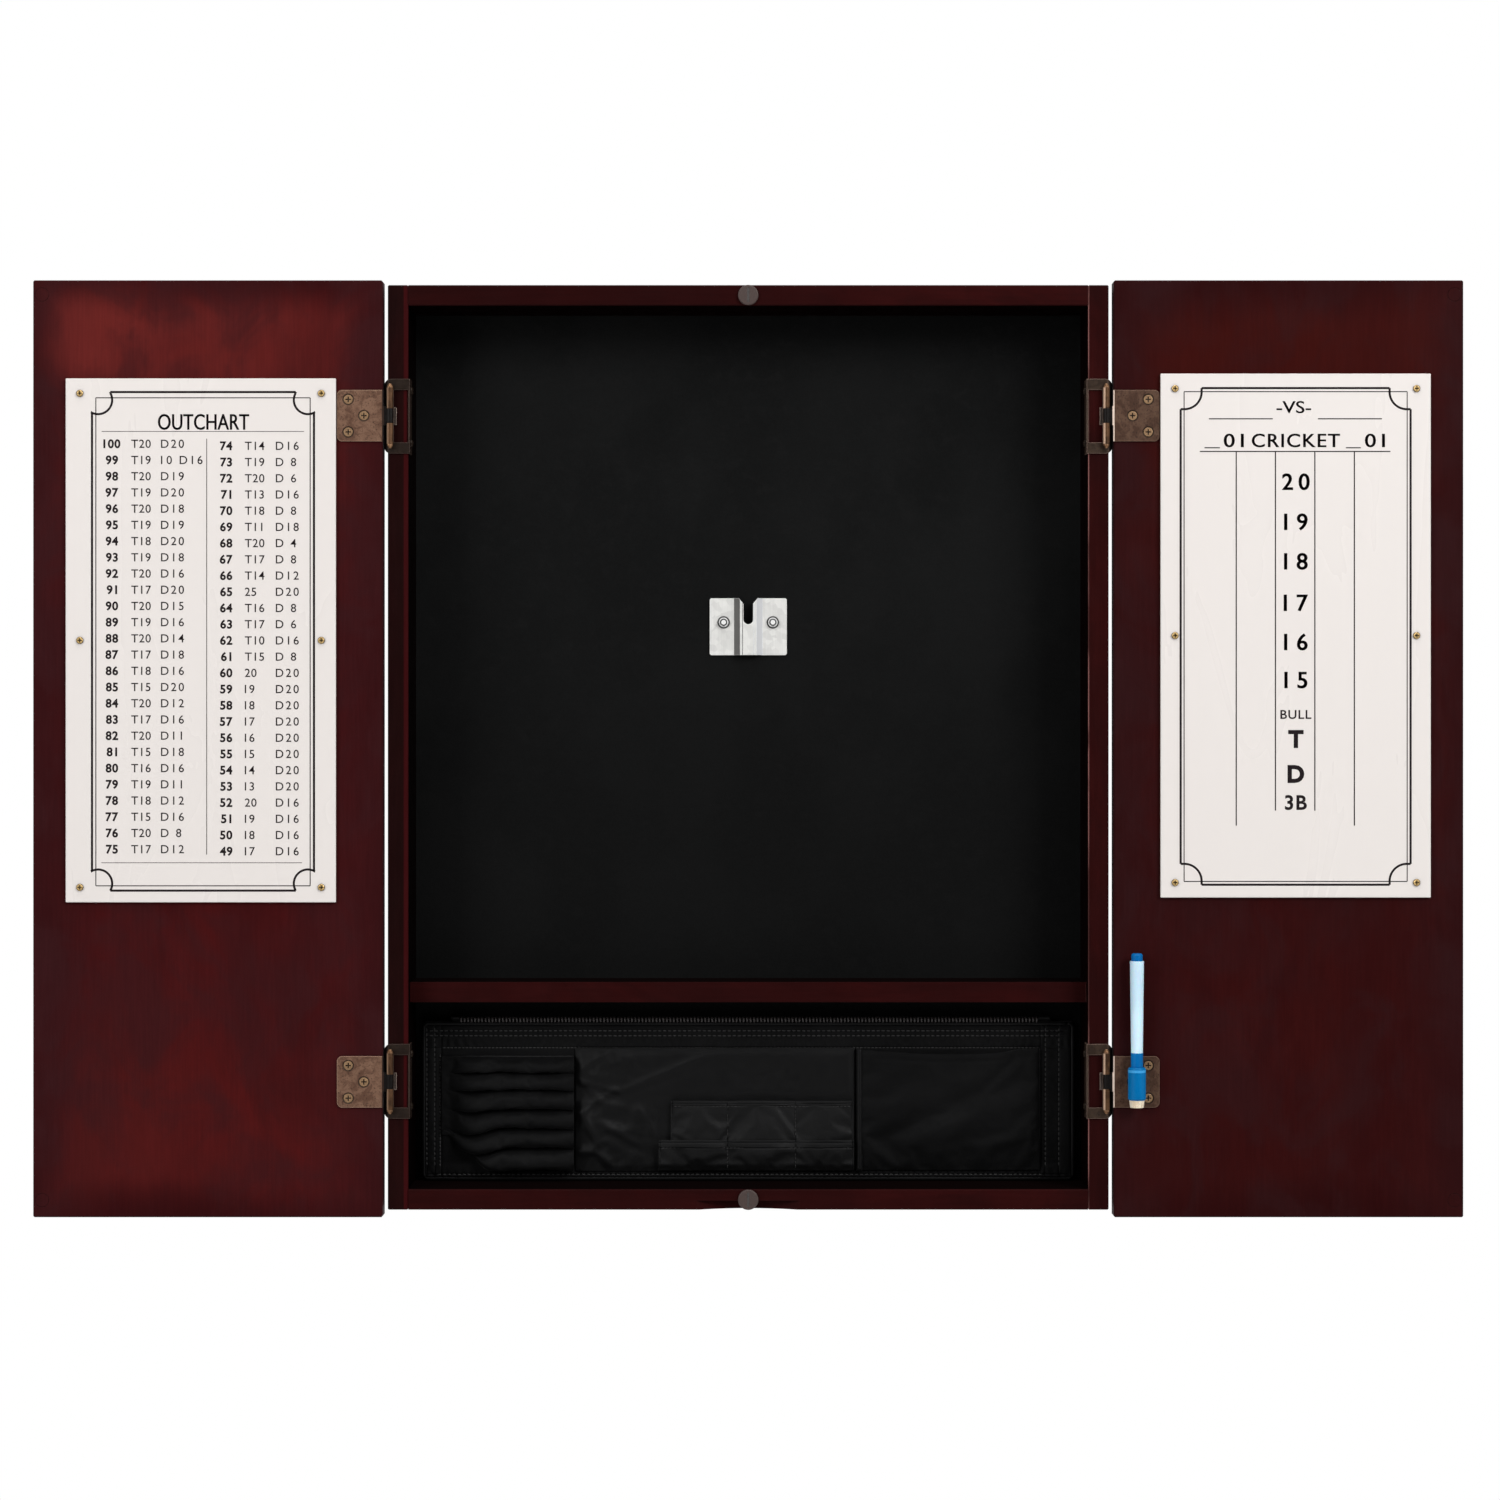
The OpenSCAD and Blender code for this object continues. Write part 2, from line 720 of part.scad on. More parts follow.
// A soft block over a place [left, right, bottom, top], standing t proud of y
module pouch(place, y, t) {
    color(nylon) translate([place[0], y - t, place[2]])
        eased_box(place[1] - place[0], t, place[3] - place[2], soft_edge);
}

module organizer_panel() {
    pouch([binding_w - organizer_w / 2, organizer_w / 2 - binding_w,
           organizer_z + binding_w, organizer_z + organizer_h - binding_w], pad_y, pad_t);
}

module organizer_binding() {
    color(nylon) difference() {
        translate([-organizer_w / 2, pad_y - binding_t, organizer_z])
            eased_box(organizer_w, binding_t, organizer_h, soft_edge);
        translate([binding_w - organizer_w / 2, pad_y - binding_t - over, organizer_z + binding_w])
            cube([organizer_w - 2 * binding_w, binding_t + 2 * over, organizer_h - 2 * binding_w]);
    }
}

// Hook-and-loop strips that hold the organizer to the back panel
module organizer_hook_strips() {
    color(black) for (x = [-150, 0, 150])
        translate([x - 30, back_y - hook_t, organizer_z + organizer_h / 2 - 12])
            cube([60, hook_t, 24]);
}

module dart_pockets() pouch(dart_block, pad_front, 12);
module small_pockets_rear() pouch(rear_row, pad_front, small_t);
module small_pockets_front() pouch(front_row, pad_front - small_t, small_t);
module large_pocket() pouch(large_place, pad_front, 13);

// ---- Marker ----

module at_marker() translate([marker_x, marker_y, marker_z]) children();

// Places a child's z axis along +Y, at the bottom of the magnet's seat in the pad
module magnet_seat() translate([0, pad_reach + magnet_proud - pen_magnet_t, 0])
    rotate([-90, 0, 0]) children();

module marker_cap() {
    color([0, 0.43, 0.69]) at_marker() difference() {
        union() {
            translate([0, 0, cap_low]) cylinder(h = 1, r1 = cap_r - 0.7, r2 = cap_r);
            translate([0, 0, cap_low + 1]) cylinder(h = cap_high - cap_low - 2, r = cap_r);
            translate([0, 0, cap_high - 1]) cylinder(h = 1, r1 = cap_r, r2 = cap_r - 0.7);
            translate([-pad_half, 0, -pad_l / 2]) cube([2 * pad_half, pad_reach, pad_l]);
        }
        translate([0, 0, cap_high - socket_d]) cylinder(h = socket_d + over, r = plug_r + fit);
        translate([0, 0, cap_high - socket_d - 6]) cylinder(h = 7, r = cap_bore_r);
        translate([0, 0, cap_low - over]) cylinder(h = felt_seat + over, r = felt_r);
        magnet_seat() cylinder(h = pen_magnet_t, r = pen_magnet_r);
    }
}

// Round magnet let into the pad on the back of the cap
module marker_magnet() {
    color("dimgray") at_marker() magnet_seat()
        cylinder(h = pen_magnet_t, r = pen_magnet_r - fit);
}

module marker_eraser() {
    color([0.84, 0.76, 0.65]) at_marker() translate([0, 0, cap_low - felt_drop]) {
        cylinder(h = felt_drop, r1 = felt_end_r, r2 = felt_r - fit);
        translate([0, 0, felt_drop - 0.1]) cylinder(h = felt_seat + 0.1, r = felt_r - fit);
    }
}

module marker_barrel() {
    color([0.75, 0.88, 0.94]) at_marker() translate([0, 0, neck_top]) difference() {
        cylinder(h = barrel_top - neck_top, r1 = barrel_low_r, r2 = barrel_high_r);
        translate([0, 0, -over]) cylinder(h = barrel_top - neck_top + 2 * over,
                                          r = barrel_low_r - barrel_wall);
    }
}

module marker_neck() {
    inner = barrel_low_r - barrel_wall - fit;
    color([0, 0.43, 0.69]) at_marker() difference() {
        union() {
            translate([0, 0, cap_high - socket_d + 1]) cylinder(h = socket_d - 1, r = plug_r);
            translate([0, 0, cap_high]) cylinder(h = neck_top - cap_high, r = neck_r);
            translate([0, 0, neck_top]) cylinder(h = 6, r = inner);
        }
        translate([0, 0, cap_high - socket_d]) cylinder(h = socket_d + neck_top, r = nib_r + fit);
    }
}

module marker_end_plug() {
    inner = barrel_low_r - barrel_wall - fit;
    color([0, 0.43, 0.69]) at_marker() {
        translate([0, 0, barrel_top - 5]) cylinder(h = 5.1, r = inner);
        translate([0, 0, barrel_top]) cylinder(h = end_top - barrel_top - 1, r = end_r);
        translate([0, 0, end_top - 1]) cylinder(h = 1, r1 = end_r, r2 = end_r - 0.8);
    }
}

module marker_nib() {
    color("dimgray") at_marker() {
        translate([0, 0, cap_high - socket_d - 2]) cylinder(h = 31, r = nib_r);
        translate([0, 0, cap_high - socket_d - 4]) cylinder(h = 2, r1 = 0.7, r2 = nib_r);
    }
}

module marker_reservoir() {
    low = cap_high - socket_d + 29.5;
    color("slategray") at_marker() translate([0, 0, low])
        cylinder(h = barrel_top - 6 - low, r = 3);
}

left_side_panel();
right_side_panel();
top_panel();
bottom_panel();
divider_shelf();
back_panel();
upper_wall_rail();
lower_wall_rail();
bracket_backer();
corner_dowels();
dartboard_bracket();
bracket_screws();
hinge_wing_upper_left();
hinge_wing_lower_left();
hinge_wing_upper_right();
hinge_wing_lower_right();
hinge_pin_upper_left();
hinge_pin_lower_left();
hinge_pin_upper_right();
hinge_pin_lower_right();
hinge_spring_upper_left();
hinge_spring_lower_left();
hinge_spring_upper_right();
hinge_spring_lower_right();
wing_screws_left();
wing_screws_right();
upper_magnet_catch();
lower_magnet_catch();
upper_catch_magnet();
lower_catch_magnet();
organizer_panel();
organizer_binding();
organizer_hook_strips();
dart_pockets();
small_pockets_rear();
small_pockets_front();
large_pocket();
left_door_panel();
left_board();
left_board_screws();
left_leaf_upper();
left_leaf_lower();
left_leaf_screws();
left_strike_discs();
right_door_panel();
right_board();
right_board_screws();
right_leaf_upper();
right_leaf_lower();
right_leaf_screws();
right_strike_discs();
marker_cap();
marker_magnet();
marker_eraser();
marker_barrel();
marker_neck();
marker_end_plug();
marker_nib();
marker_reservoir();
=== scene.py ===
import math

import bpy
import numpy as np
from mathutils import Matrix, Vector


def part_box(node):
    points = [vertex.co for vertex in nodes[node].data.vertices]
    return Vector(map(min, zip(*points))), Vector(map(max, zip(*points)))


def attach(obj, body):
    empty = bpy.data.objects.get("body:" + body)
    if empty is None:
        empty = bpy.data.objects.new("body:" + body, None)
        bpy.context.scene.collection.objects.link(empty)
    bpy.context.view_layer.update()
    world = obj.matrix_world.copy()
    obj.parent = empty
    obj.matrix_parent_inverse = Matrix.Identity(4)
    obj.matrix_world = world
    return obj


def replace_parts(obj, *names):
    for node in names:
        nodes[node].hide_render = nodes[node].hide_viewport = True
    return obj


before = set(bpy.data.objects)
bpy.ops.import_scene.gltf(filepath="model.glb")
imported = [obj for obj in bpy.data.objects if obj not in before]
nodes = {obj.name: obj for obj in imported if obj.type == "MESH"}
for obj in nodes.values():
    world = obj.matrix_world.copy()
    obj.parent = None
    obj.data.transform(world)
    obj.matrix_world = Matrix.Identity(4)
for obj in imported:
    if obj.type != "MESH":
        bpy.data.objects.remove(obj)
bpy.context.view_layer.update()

# Lengths inside the builders below are in millimetres; MM brings them to the frame's metres.
MM = 0.001
scene = bpy.context.scene


def mm_box(node):
    low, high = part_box(node)
    return [c / MM for c in low], [c / MM for c in high]


def put(name, data):
    """A new object in the scene."""
    made = bpy.data.objects.new(name, data)
    scene.collection.objects.link(made)
    return made


def put_mesh(name, points, faces):
    mesh = bpy.data.meshes.new(name)
    mesh.from_pydata(points, [], faces)
    return put(name, mesh)


def shade(colour, share):
    return tuple(share * c for c in colour)


# ---- finishes

class Finish:
    """One procedural material, built up from a few kinds of node."""

    def __init__(self, name):
        self.material = bpy.data.materials.new(name)
        self.material.use_nodes = True
        self.tree = self.material.node_tree
        self.surface = self.tree.nodes["Principled BSDF"]
        self.place = self.node("TexCoord").outputs["Object"]

    def put(self, socket, value):
        if isinstance(value, bpy.types.NodeSocket):
            self.tree.links.new(value, socket)
        else:
            socket.default_value = value

    def node(self, kind, values=(), **settings):
        made = self.tree.nodes.new("ShaderNode" + kind)
        for key, value in settings.items():
            setattr(made, key, value)
        for key, value in dict(values).items():
            self.put(made.inputs[key], value)
        return made

    def set(self, **values):
        for key, value in values.items():
            self.put(self.surface.inputs[key.replace("_", " ")], value)

    def scaled(self, scale):
        """The object's own coordinates, times one number or one for each axis."""
        each = scale if isinstance(scale, tuple) else (scale, scale, scale)
        return self.node("Mapping", {"Vector": self.place, "Scale": each}).outputs[0]

    def noise(self, scale, detail=2.0, rough=0.5, distort=0.0):
        return self.node("TexNoise", {
            "Vector": self.scaled(scale), "Scale": 1.0, "Detail": detail,
            "Roughness": rough, "Distortion": distort}).outputs[0]

    def cells(self, scale, out="Distance"):
        return self.node("TexVoronoi", {"Vector": self.scaled(scale), "Scale": 1.0}).outputs[out]

    def bands(self, axis, per_metre):
        """Smooth stripes across one axis, from 0 to 1."""
        return self.node("TexWave", {
            "Vector": self.place, "Scale": per_metre / 20 * 2 * math.pi, "Distortion": 0.0},
            bands_direction=axis, wave_profile="SIN").outputs["Fac"]

    def level(self, value, low, high, to_low=0.0, to_high=1.0):
        """From to_low where value is low to to_high where it is high, smoothly."""
        return self.node("MapRange", {0: value, 1: low, 2: high, 3: to_low, 4: to_high},
                         interpolation_type="SMOOTHSTEP").outputs[0]

    def calc(self, how, a, b):
        return self.node("Math", {0: a, 1: b}, operation=how).outputs[0]

    def times(self, a, b):
        return self.calc("MULTIPLY", a, b)

    def plus(self, a, b):
        return self.calc("ADD", a, b)

    def minus(self, a, b):
        return self.calc("SUBTRACT", a, b)

    def size(self, value):
        return self.calc("ABSOLUTE", value, 0.0)

    def band(self, value, low, high, soft):
        """1 between low and high, falling to 0 over the distance soft outside them."""
        return self.times(self.level(value, low - soft, low), self.level(value, high + soft, high))

    def mix(self, share, a, b, how="MIX"):
        made = self.node("Mix", data_type="RGBA", blend_type=how)
        for index, value in ((0, share), (6, a), (7, b)):
            if index > 0 and isinstance(value, tuple):
                value = (*value, 1.0)
            self.put(made.inputs[index], value)
        return made.outputs[2]

    def over(self, under, top, value, low, high, most=1.0, how="MIX"):
        """The colour top laid over another, by up to most, where value passes from low to high."""
        return self.mix(self.level(value, low, high, 0.0, most), under, top, how)

    def axis(self, name):
        return self.node("SeparateXYZ", {0: self.place}).outputs[name]

    def facing(self, name):
        true = self.node("NewGeometry").outputs["Normal"]
        return self.node("SeparateXYZ", {0: true}).outputs[name]

    def span(self, a, b):
        """Length of the flat vector (a, b)."""
        flat = self.node("CombineXYZ", {0: a, 1: b, 2: 0.0}).outputs[0]
        return self.node("VectorMath", {0: flat}, operation="LENGTH").outputs["Value"]

    def eased(self, radius):
        """A normal that rounds the piece's edges."""
        return self.node("Bevel", {"Radius": radius}, samples=6).outputs[0]

    def edge(self, radius, gain=6.0):
        """From 0 on a flat face to 1 at an edge."""
        true = self.node("NewGeometry").outputs["True Normal"]
        dot = self.node("VectorMath", {0: true, 1: self.eased(radius)},
                        operation="DOT_PRODUCT").outputs["Value"]
        return self.level(dot, 1.0, 1.0 - 1.0 / gain)

    def bump(self, height, distance, strength=1.0, normal=None):
        made = self.node("Bump", {"Height": height, "Distance": distance, "Strength": strength})
        if normal is not None:
            self.put(made.inputs["Normal"], normal)
        self.put(self.surface.inputs["Normal"], made.outputs[0])
        return made.outputs[0]


def along_grain(grain, across, along):
    return tuple(along if grain == axis else across for axis in "XYZ")


def mahogany(name, grain, dark, red, glow=None, panel=None):
    """Stained wood under satin lacquer. A door's box gives the darker toner along its edges, and glow the
    colour of its painted lit patch. Without one, the wood is the case's, whose inner faces are made nearly
    black."""
    f = Finish(name)
    fine = f.noise(along_grain(grain, 620, 25), 5, 0.62)
    broad = f.noise(along_grain(grain, 20, 7.5), 4, 0.62, 1.0)
    cloud = f.noise((6.0, 6.0, 2.6), 3, 0.5, 0.3)
    body = f.mix(f.level(broad, 0.3, 0.72), dark, red)
    body = f.mix(f.level(cloud, 0.32, 0.6, 0.15, 1.0), dark, body)
    body = f.mix(f.level(f.noise((70, 70, 34), 4, 0.65, 0.6), 0.5, 0.72, 0.0, 0.35), body, dark)
    if panel:
        (x0, _, z0), (x1, _, z1) = panel
        x, z = f.axis("X"), f.axis("Z")
        off_side = f.calc("MINIMUM", f.minus(x, x0), f.minus(x1, x))
        off_end = f.calc("MINIMUM", f.minus(z, z0), f.minus(z1, z))
        off = f.calc("MINIMUM", off_side, off_end)
        wander = f.times(f.noise(9, 2), 0.05)
        inside = f.level(f.plus(off, wander), 0.016, 0.06)
        # Painted light: a lighter patch on the door, strongest near its top and weaker near its bottom.
        if glow:
            high = f.calc("MAXIMUM", f.level(z, z1 - 0.24, z1 - 0.05, 0.12, 1.0),
                          f.level(z, z0 + 0.2, z0 + 0.03, 0.12, 0.3))
            patch = f.level(f.noise((4.5, 4.5, 3.2), 2, 0.5, 0.6), 0.36, 0.66, 0.35, 1.0)
            body = f.mix(f.times(f.times(high, patch), inside), body, glow)
        body = f.mix(inside, shade(dark, 0.85), body)
        smoke = f.plus(f.level(f.noise((17, 17, 13), 4, 0.62, 0.7), 0.4, 0.68, 0.0, 0.62),
                       f.level(off_side, 0.06, 0.0, 0.0, 0.32))
        body = f.mix(smoke, body, (1.05 * dark[0], dark[1] + 0.0035, dark[2] + 0.004))
    else:
        x, z = f.axis("X"), f.axis("Z")
        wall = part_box("right_side_panel")[0].x
        floor_z, ceiling_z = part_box("bottom_panel")[1].z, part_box("top_panel")[0].z
        inside = f.times(f.level(f.size(x), wall + 0.0004, wall + 0.0001),
                         f.band(z, floor_z - 0.0001, ceiling_z + 0.0001, 0.0004))
        turned = f.level(f.facing("Y"), -0.75, -0.35)
        # A thin pink line by the right side panel's inner edge: part wear and part painted highlight.
        worn = f.level(f.noise((90, 90, 14), 3, 0.6), 0.42, 0.6, 0.15, 0.8)
        corner = f.band(x, wall + 0.0001, wall + 0.0006, 0.0003)
        body = f.mix(f.times(corner, worn), body, (0.3, 0.13, 0.12))
        edge = f.band(x, -wall - 0.003, -wall - 0.0001, 0.0006)
        body = f.mix(edge, body, (0.034, 0.0036, 0.0042))
        # Inner faces that don't face the front are made nearly black.
        body = f.mix(f.times(inside, turned), body, shade(dark, 0.15))
    body = f.over(body, (0.35, 0.35, 0.35), fine, 0.36, 0.6, 0.16, "MULTIPLY")
    rim = f.edge(0.0008, 5.0)
    body = f.mix(f.times(rim, 0.5), body, (0.012, 0.004, 0.004))
    satin = f.level(f.noise(40, 3), 0.3, 0.7, 0.34, 0.46)
    f.set(Base_Color=body, Specular_IOR_Level=0.02,
          Roughness=f.calc("MAXIMUM", satin, f.level(f.facing("Z"), 0.6, 0.9)))
    f.bump(fine, 0.00008, 0.5, f.eased(0.0009))
    return f.material


def bare_wood(name, grain):
    f = Finish(name)
    rings = f.noise(along_grain(grain, 130, 3), 4, 0.6, 1.2)
    fine = f.noise(along_grain(grain, 900, 14), 4, 0.6)
    body = f.mix(f.level(rings, 0.35, 0.65), (0.5, 0.34, 0.18), (0.33, 0.2, 0.1))
    body = f.over(body, (0.55, 0.5, 0.45), fine, 0.4, 0.62, 0.35, "MULTIPLY")
    f.set(Base_Color=body, Roughness=f.level(rings, 0.3, 0.7, 0.6, 0.78))
    f.bump(fine, 0.00012, 0.6, f.eased(0.0005))
    return f.material


def painted_board():
    f = Finish("flat_black_board")
    fibre = f.noise(900, 4, 0.65)
    roller = f.noise((95, 95, 120), 3, 0.6, 0.5)
    patch = f.noise((9, 9, 7), 3, 0.55)
    body = f.mix(f.level(patch, 0.4, 0.62), (0.003, 0.0032, 0.0032), (0.0046, 0.0048, 0.0048))
    body = f.over(body, (0.0062, 0.0062, 0.0062), roller, 0.5, 0.72, 0.4)
    body = f.over(body, (0.001, 0.001, 0.001), f.axis("Z"), 0.12, -0.16, 0.5)
    f.set(Base_Color=body, Specular_IOR_Level=0.08, Roughness=f.level(fibre, 0.35, 0.65, 0.68, 0.86))
    f.bump(f.plus(fibre, f.times(roller, 1.5)), 0.00012, 0.55)
    return f.material


SCREW_REACH = 0.0042     # radius of a bracket screw's washer


def screw_distance(f):
    """Distance from the nearer of the bracket's two screws."""
    low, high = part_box("bracket_screws")
    apart = (high.x - low.x) / 2 - SCREW_REACH
    return f.span(f.minus(f.size(f.axis("X")), apart), f.minus(f.axis("Z"), (high.z + low.z) / 2))


def zinc():
    f = Finish("galvanised_sheet")
    spangle = f.node("SeparateColor", {0: f.cells(260, "Color")}).outputs[0]
    rolled = f.noise((1500, 1500, 25), 3, 0.6)
    body = f.mix(spangle, (0.63, 0.625, 0.605), (0.72, 0.715, 0.69))
    body = f.over(body, (0.86, 0.86, 0.86), rolled, 0.4, 0.6, 0.3, "MULTIPLY")
    # Painted shade: faces turned to the left are made dark, faces turned to the right a little darker.
    body = f.over(body, (0.12, 0.117, 0.112), f.facing("X"), -0.3, -0.6)
    body = f.over(body, (0.58, 0.585, 0.6), f.facing("X"), 0.3, 0.6)
    body = f.mix(f.edge(0.0005), body, (0.95, 0.95, 0.94))
    # Painted shadow: a dark ring round each bracket screw's washer.
    screw_shadow = f.level(screw_distance(f), SCREW_REACH + 0.0006, SCREW_REACH + 0.0003)
    body = f.mix(screw_shadow, body, (0.03, 0.03, 0.03))
    f.set(Base_Color=body, Metallic=0.12, Roughness=f.level(spangle, 0.0, 1.0, 0.34, 0.5))
    f.bump(f.plus(rolled, spangle), 0.00003, 0.5, f.eased(0.0005))
    return f.material


# A leaf's screws: a pair this far from the door's edge and up and down, and one on the middle line
PAIR_IN, PAIR_UP, SINGLE_IN = 0.025, 0.0119, 0.0136


def old_brass(name, base, pale, deep, worn, metal=0.55, rough=0.4, part=None):
    """Antique plate, mottled, its edges lighter as part wear and part painted highlight. part adds what only
    a leaf or a wing has, much of it painted light and shade.
    """
    f = Finish(name)
    cloud = f.noise(140, 5, 0.65, 0.6)
    mottle = f.noise(620, 4, 0.7)
    scratch = f.noise((2600, 2600, 190), 2, 0.5, 0.3)
    body = f.mix(f.level(cloud, 0.36, 0.62), base, pale)
    body = f.over(body, deep, mottle, 0.52, 0.68, 0.75)
    body = f.over(body, pale, scratch, 0.6, 0.72, 0.35)
    # Lighter edges: part wear and part painted highlight.
    body = f.mix(f.edge(0.0008, 9.0), body, worn)
    across = f.size(f.axis("X"))
    if part == "leaf":              # painted highlight along the right leaves' rolled edge by the barrel and painted shade along the left ones', knuckle darkened as painted shade, right leaves darker as painted shade, dark countersinks
        over, under = (sum(p.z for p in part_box("right_leaf_" + level)) / 2 for level in ("upper", "lower"))
        up = f.minus(f.size(f.minus(f.axis("Z"), (over + under) / 2)), (over - under) / 2)
        pair = f.span(f.minus(across, leaf_edge + PAIR_IN), f.minus(f.size(up), PAIR_UP))
        one = f.span(f.minus(across, leaf_edge + SINGLE_IN), up)
        right = f.level(f.axis("X"), 0.0, 0.001)
        # Painted shade: the right leaves darker than the left ones.
        body = f.mix(right, body, f.mix(0.5, body, (0.01, 0.005, 0.0035)))
        sink = f.level(f.calc("MINIMUM", pair, one), 0.0045, 0.0041)
        body = f.mix(f.times(sink, 0.85), body, (0.016, 0.009, 0.005))
        # Along the door's edge by the barrel: a painted highlight on the right leaves, painted shade on the
        # left ones.
        near = f.level(across, leaf_edge + 0.0006, leaf_edge + 0.0002)
        body = f.mix(near, body, f.mix(right, (0.03, 0.016, 0.011), roll_highlight))
        # Painted shade on the knuckle past the door's edge.
        body = f.over(body, (0.005, 0.0035, 0.003), across, leaf_edge - 0.0009, leaf_edge - 0.0012)
    if part == "wing":              # painted highlight down each barrel, dark lip, left wings darker as painted shade
        left = f.level(f.facing("X"), -0.35, -0.6)
        leaf_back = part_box("right_leaf_upper")[1].y
        proud = f.level(f.axis("Y"), leaf_back - 0.0004, leaf_back - 0.0008)
        body = f.over(body, (0.008, 0.006, 0.006), across, leaf_edge - 0.003, leaf_edge - 0.0027)
        # Painted shade: the left wings darker than the right ones.
        right = f.level(f.axis("X"), 0.0, 0.001)
        body = f.mix(right, f.mix(0.6, body, (0.006, 0.0035, 0.003)), body)
        barrel = f.mix(f.level(cloud, 0.36, 0.62), (0.04, 0.019, 0.009), (0.105, 0.052, 0.025))
        # Painted highlight down the side of each barrel that faces left.
        barrel_highlight = f.mix(right, (0.26, 0.16, 0.1), (0.55, 0.37, 0.26))
        body = f.mix(proud, body, barrel)
        body = f.mix(f.times(left, proud), body, barrel_highlight)
    f.set(Base_Color=body, Metallic=metal, Specular_IOR_Level=0.18,
          Roughness=f.level(mottle, 0.35, 0.65, rough - 0.06, rough + 0.14))
    f.bump(f.plus(mottle, scratch), 0.00003, 0.5, f.eased(0.00045))
    return f.material


def plated(name, body, dark, rough=0.28, metal=1.0, recess=None, rings=()):
    """Bright plating. recess is the depth below which a driver recess is darkened as painted shade; rings
    are the radii between which the bracket's screws are darkened as painted shade."""
    f = Finish(name)
    smear = f.noise(500, 4, 0.6)
    turned = f.noise(3000, 2, 0.5)
    colour = f.over(body, dark, smear, 0.42, 0.66, 0.6)
    if recess is not None:
        # Painted shade in the driver recess.
        colour = f.mix(f.level(f.axis("Y"), recess, recess + 0.0001), colour, shade(dark, 0.12))
    if rings:
        off = screw_distance(f)
        for inner, outer in rings:
            # Painted shade in two rings on each bracket screw.
            shade_ring = f.times(f.band(off, inner, outer, 0.0001), 0.95)
            colour = f.mix(shade_ring, colour, (0.012, 0.012, 0.013))
    f.set(Base_Color=colour, Metallic=metal, Roughness=f.level(smear, 0.3, 0.7, rough, rough + 0.16))
    f.bump(turned, 0.00001, 0.5, f.eased(0.0003))
    return f.material


def gloss_board():
    f = Finish("write_on_surface")
    peel = f.noise(260, 2, 0.4)
    wiped = f.noise((14, 14, 3), 4, 0.6, 0.8)
    body = f.mix(f.level(wiped, 0.4, 0.66), (0.715, 0.672, 0.645), (0.707, 0.664, 0.637))
    core = f.noise(900, 3, 0.6)
    brown = f.mix(core, (0.2, 0.13, 0.09), (0.34, 0.24, 0.17))
    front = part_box("left_board")[0].y
    skin = f.level(f.axis("Y"), front + 0.0016, front + 0.0009)      # below it, the bare core
    f.set(Base_Color=f.mix(skin, brown, body), Coat_Weight=0.5, Coat_Roughness=0.08,
          Roughness=f.level(wiped, 0.3, 0.7, 0.22, 0.34))
    f.bump(peel, 0.00004, 0.35, f.eased(0.0004))
    return f.material


def cloth(name, dark, pale, per_metre=1500, rough=0.62, depth=0.00009, crumple=0.3, shine=0.12):
    """Woven nylon: two crossed sets of threads and a faint crumple."""
    f = Finish(name)
    warp, weft = f.bands("X", per_metre), f.bands("Z", per_metre)
    weave = f.times(warp, weft)
    creased = f.noise((170, 170, 230), 4, 0.6, 1.0)
    worn = f.noise((22, 22, 30), 3, 0.55)
    body = f.mix(f.level(worn, 0.35, 0.66), dark, pale)
    body = f.mix(f.level(weave, 0.0, 0.8, 0.55, 0.0), body, shade(dark, 0.45))
    f.set(Base_Color=body, Sheen_Weight=0.03, Sheen_Roughness=0.45, Specular_IOR_Level=shine,
          Roughness=f.level(creased, 0.3, 0.7, rough - 0.08, rough + 0.08))
    height = f.plus(f.times(creased, crumple * 6), weave)
    f.bump(height, depth, 0.8)
    return f.material


def grainy(name, grain, colours, mixed, rough, bump=None, **settings):
    """A plain material: one noise mixes its two colours, roughens it and gives its bump."""
    f = Finish(name)
    value = f.noise(*grain) if len(grain) > 1 else f.cells(*grain)
    f.set(Base_Color=f.mix(f.level(value, *mixed) if mixed else value, *colours),
          Roughness=f.level(value, *rough), **settings)
    if bump:
        f.bump(value, *bump)
    return f.material


def moulded(name, body, deep, rough, soft=0.0, band=None):
    """Moulded plastic with faint flow marks. band is (low z, high z, colour) of a paler rim."""
    f = Finish(name)
    flow = f.noise((120, 120, 30), 3, 0.5, 0.4)
    scuff = f.noise((1700, 1700, 260), 3, 0.6)
    colour = f.mix(f.level(flow, 0.3, 0.7), deep, body)
    if band:
        low, high, pale = band
        rim = f.times(f.band(f.axis("Z"), low, high, 0.0003), 0.7)
        colour = f.mix(rim, colour, pale)
    f.set(Base_Color=colour, Subsurface_Weight=soft, Subsurface_Scale=0.002, Specular_IOR_Level=0.12,
          Roughness=f.level(scuff, 0.35, 0.68, rough, rough + 0.14))
    f.bump(scuff, 0.00002, 0.4, f.eased(0.0005))
    return f.material


def wool_felt():
    f = Finish("wool_felt")
    fibre = f.noise(1500, 5, 0.75, 2.0)
    tuft = f.noise(380, 4, 0.6, 0.8)
    body = f.mix(f.level(tuft, 0.34, 0.66), (0.78, 0.63, 0.44), (0.92, 0.82, 0.64))
    body = f.over(body, (0.4, 0.3, 0.19), fibre, 0.45, 0.62, 0.5)
    f.set(Base_Color=body, Sheen_Weight=0.4, Roughness=f.level(fibre, 0.3, 0.7, 0.8, 0.95))
    f.bump(f.plus(fibre, tuft), 0.0005, 0.9)
    return f.material


DARK, RED = (0.016, 0.003, 0.003), (0.0288, 0.0039, 0.0038)
leaf_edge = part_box("right_door_panel")[0].x
leaf_screw_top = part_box("right_leaf_screws")[0].y
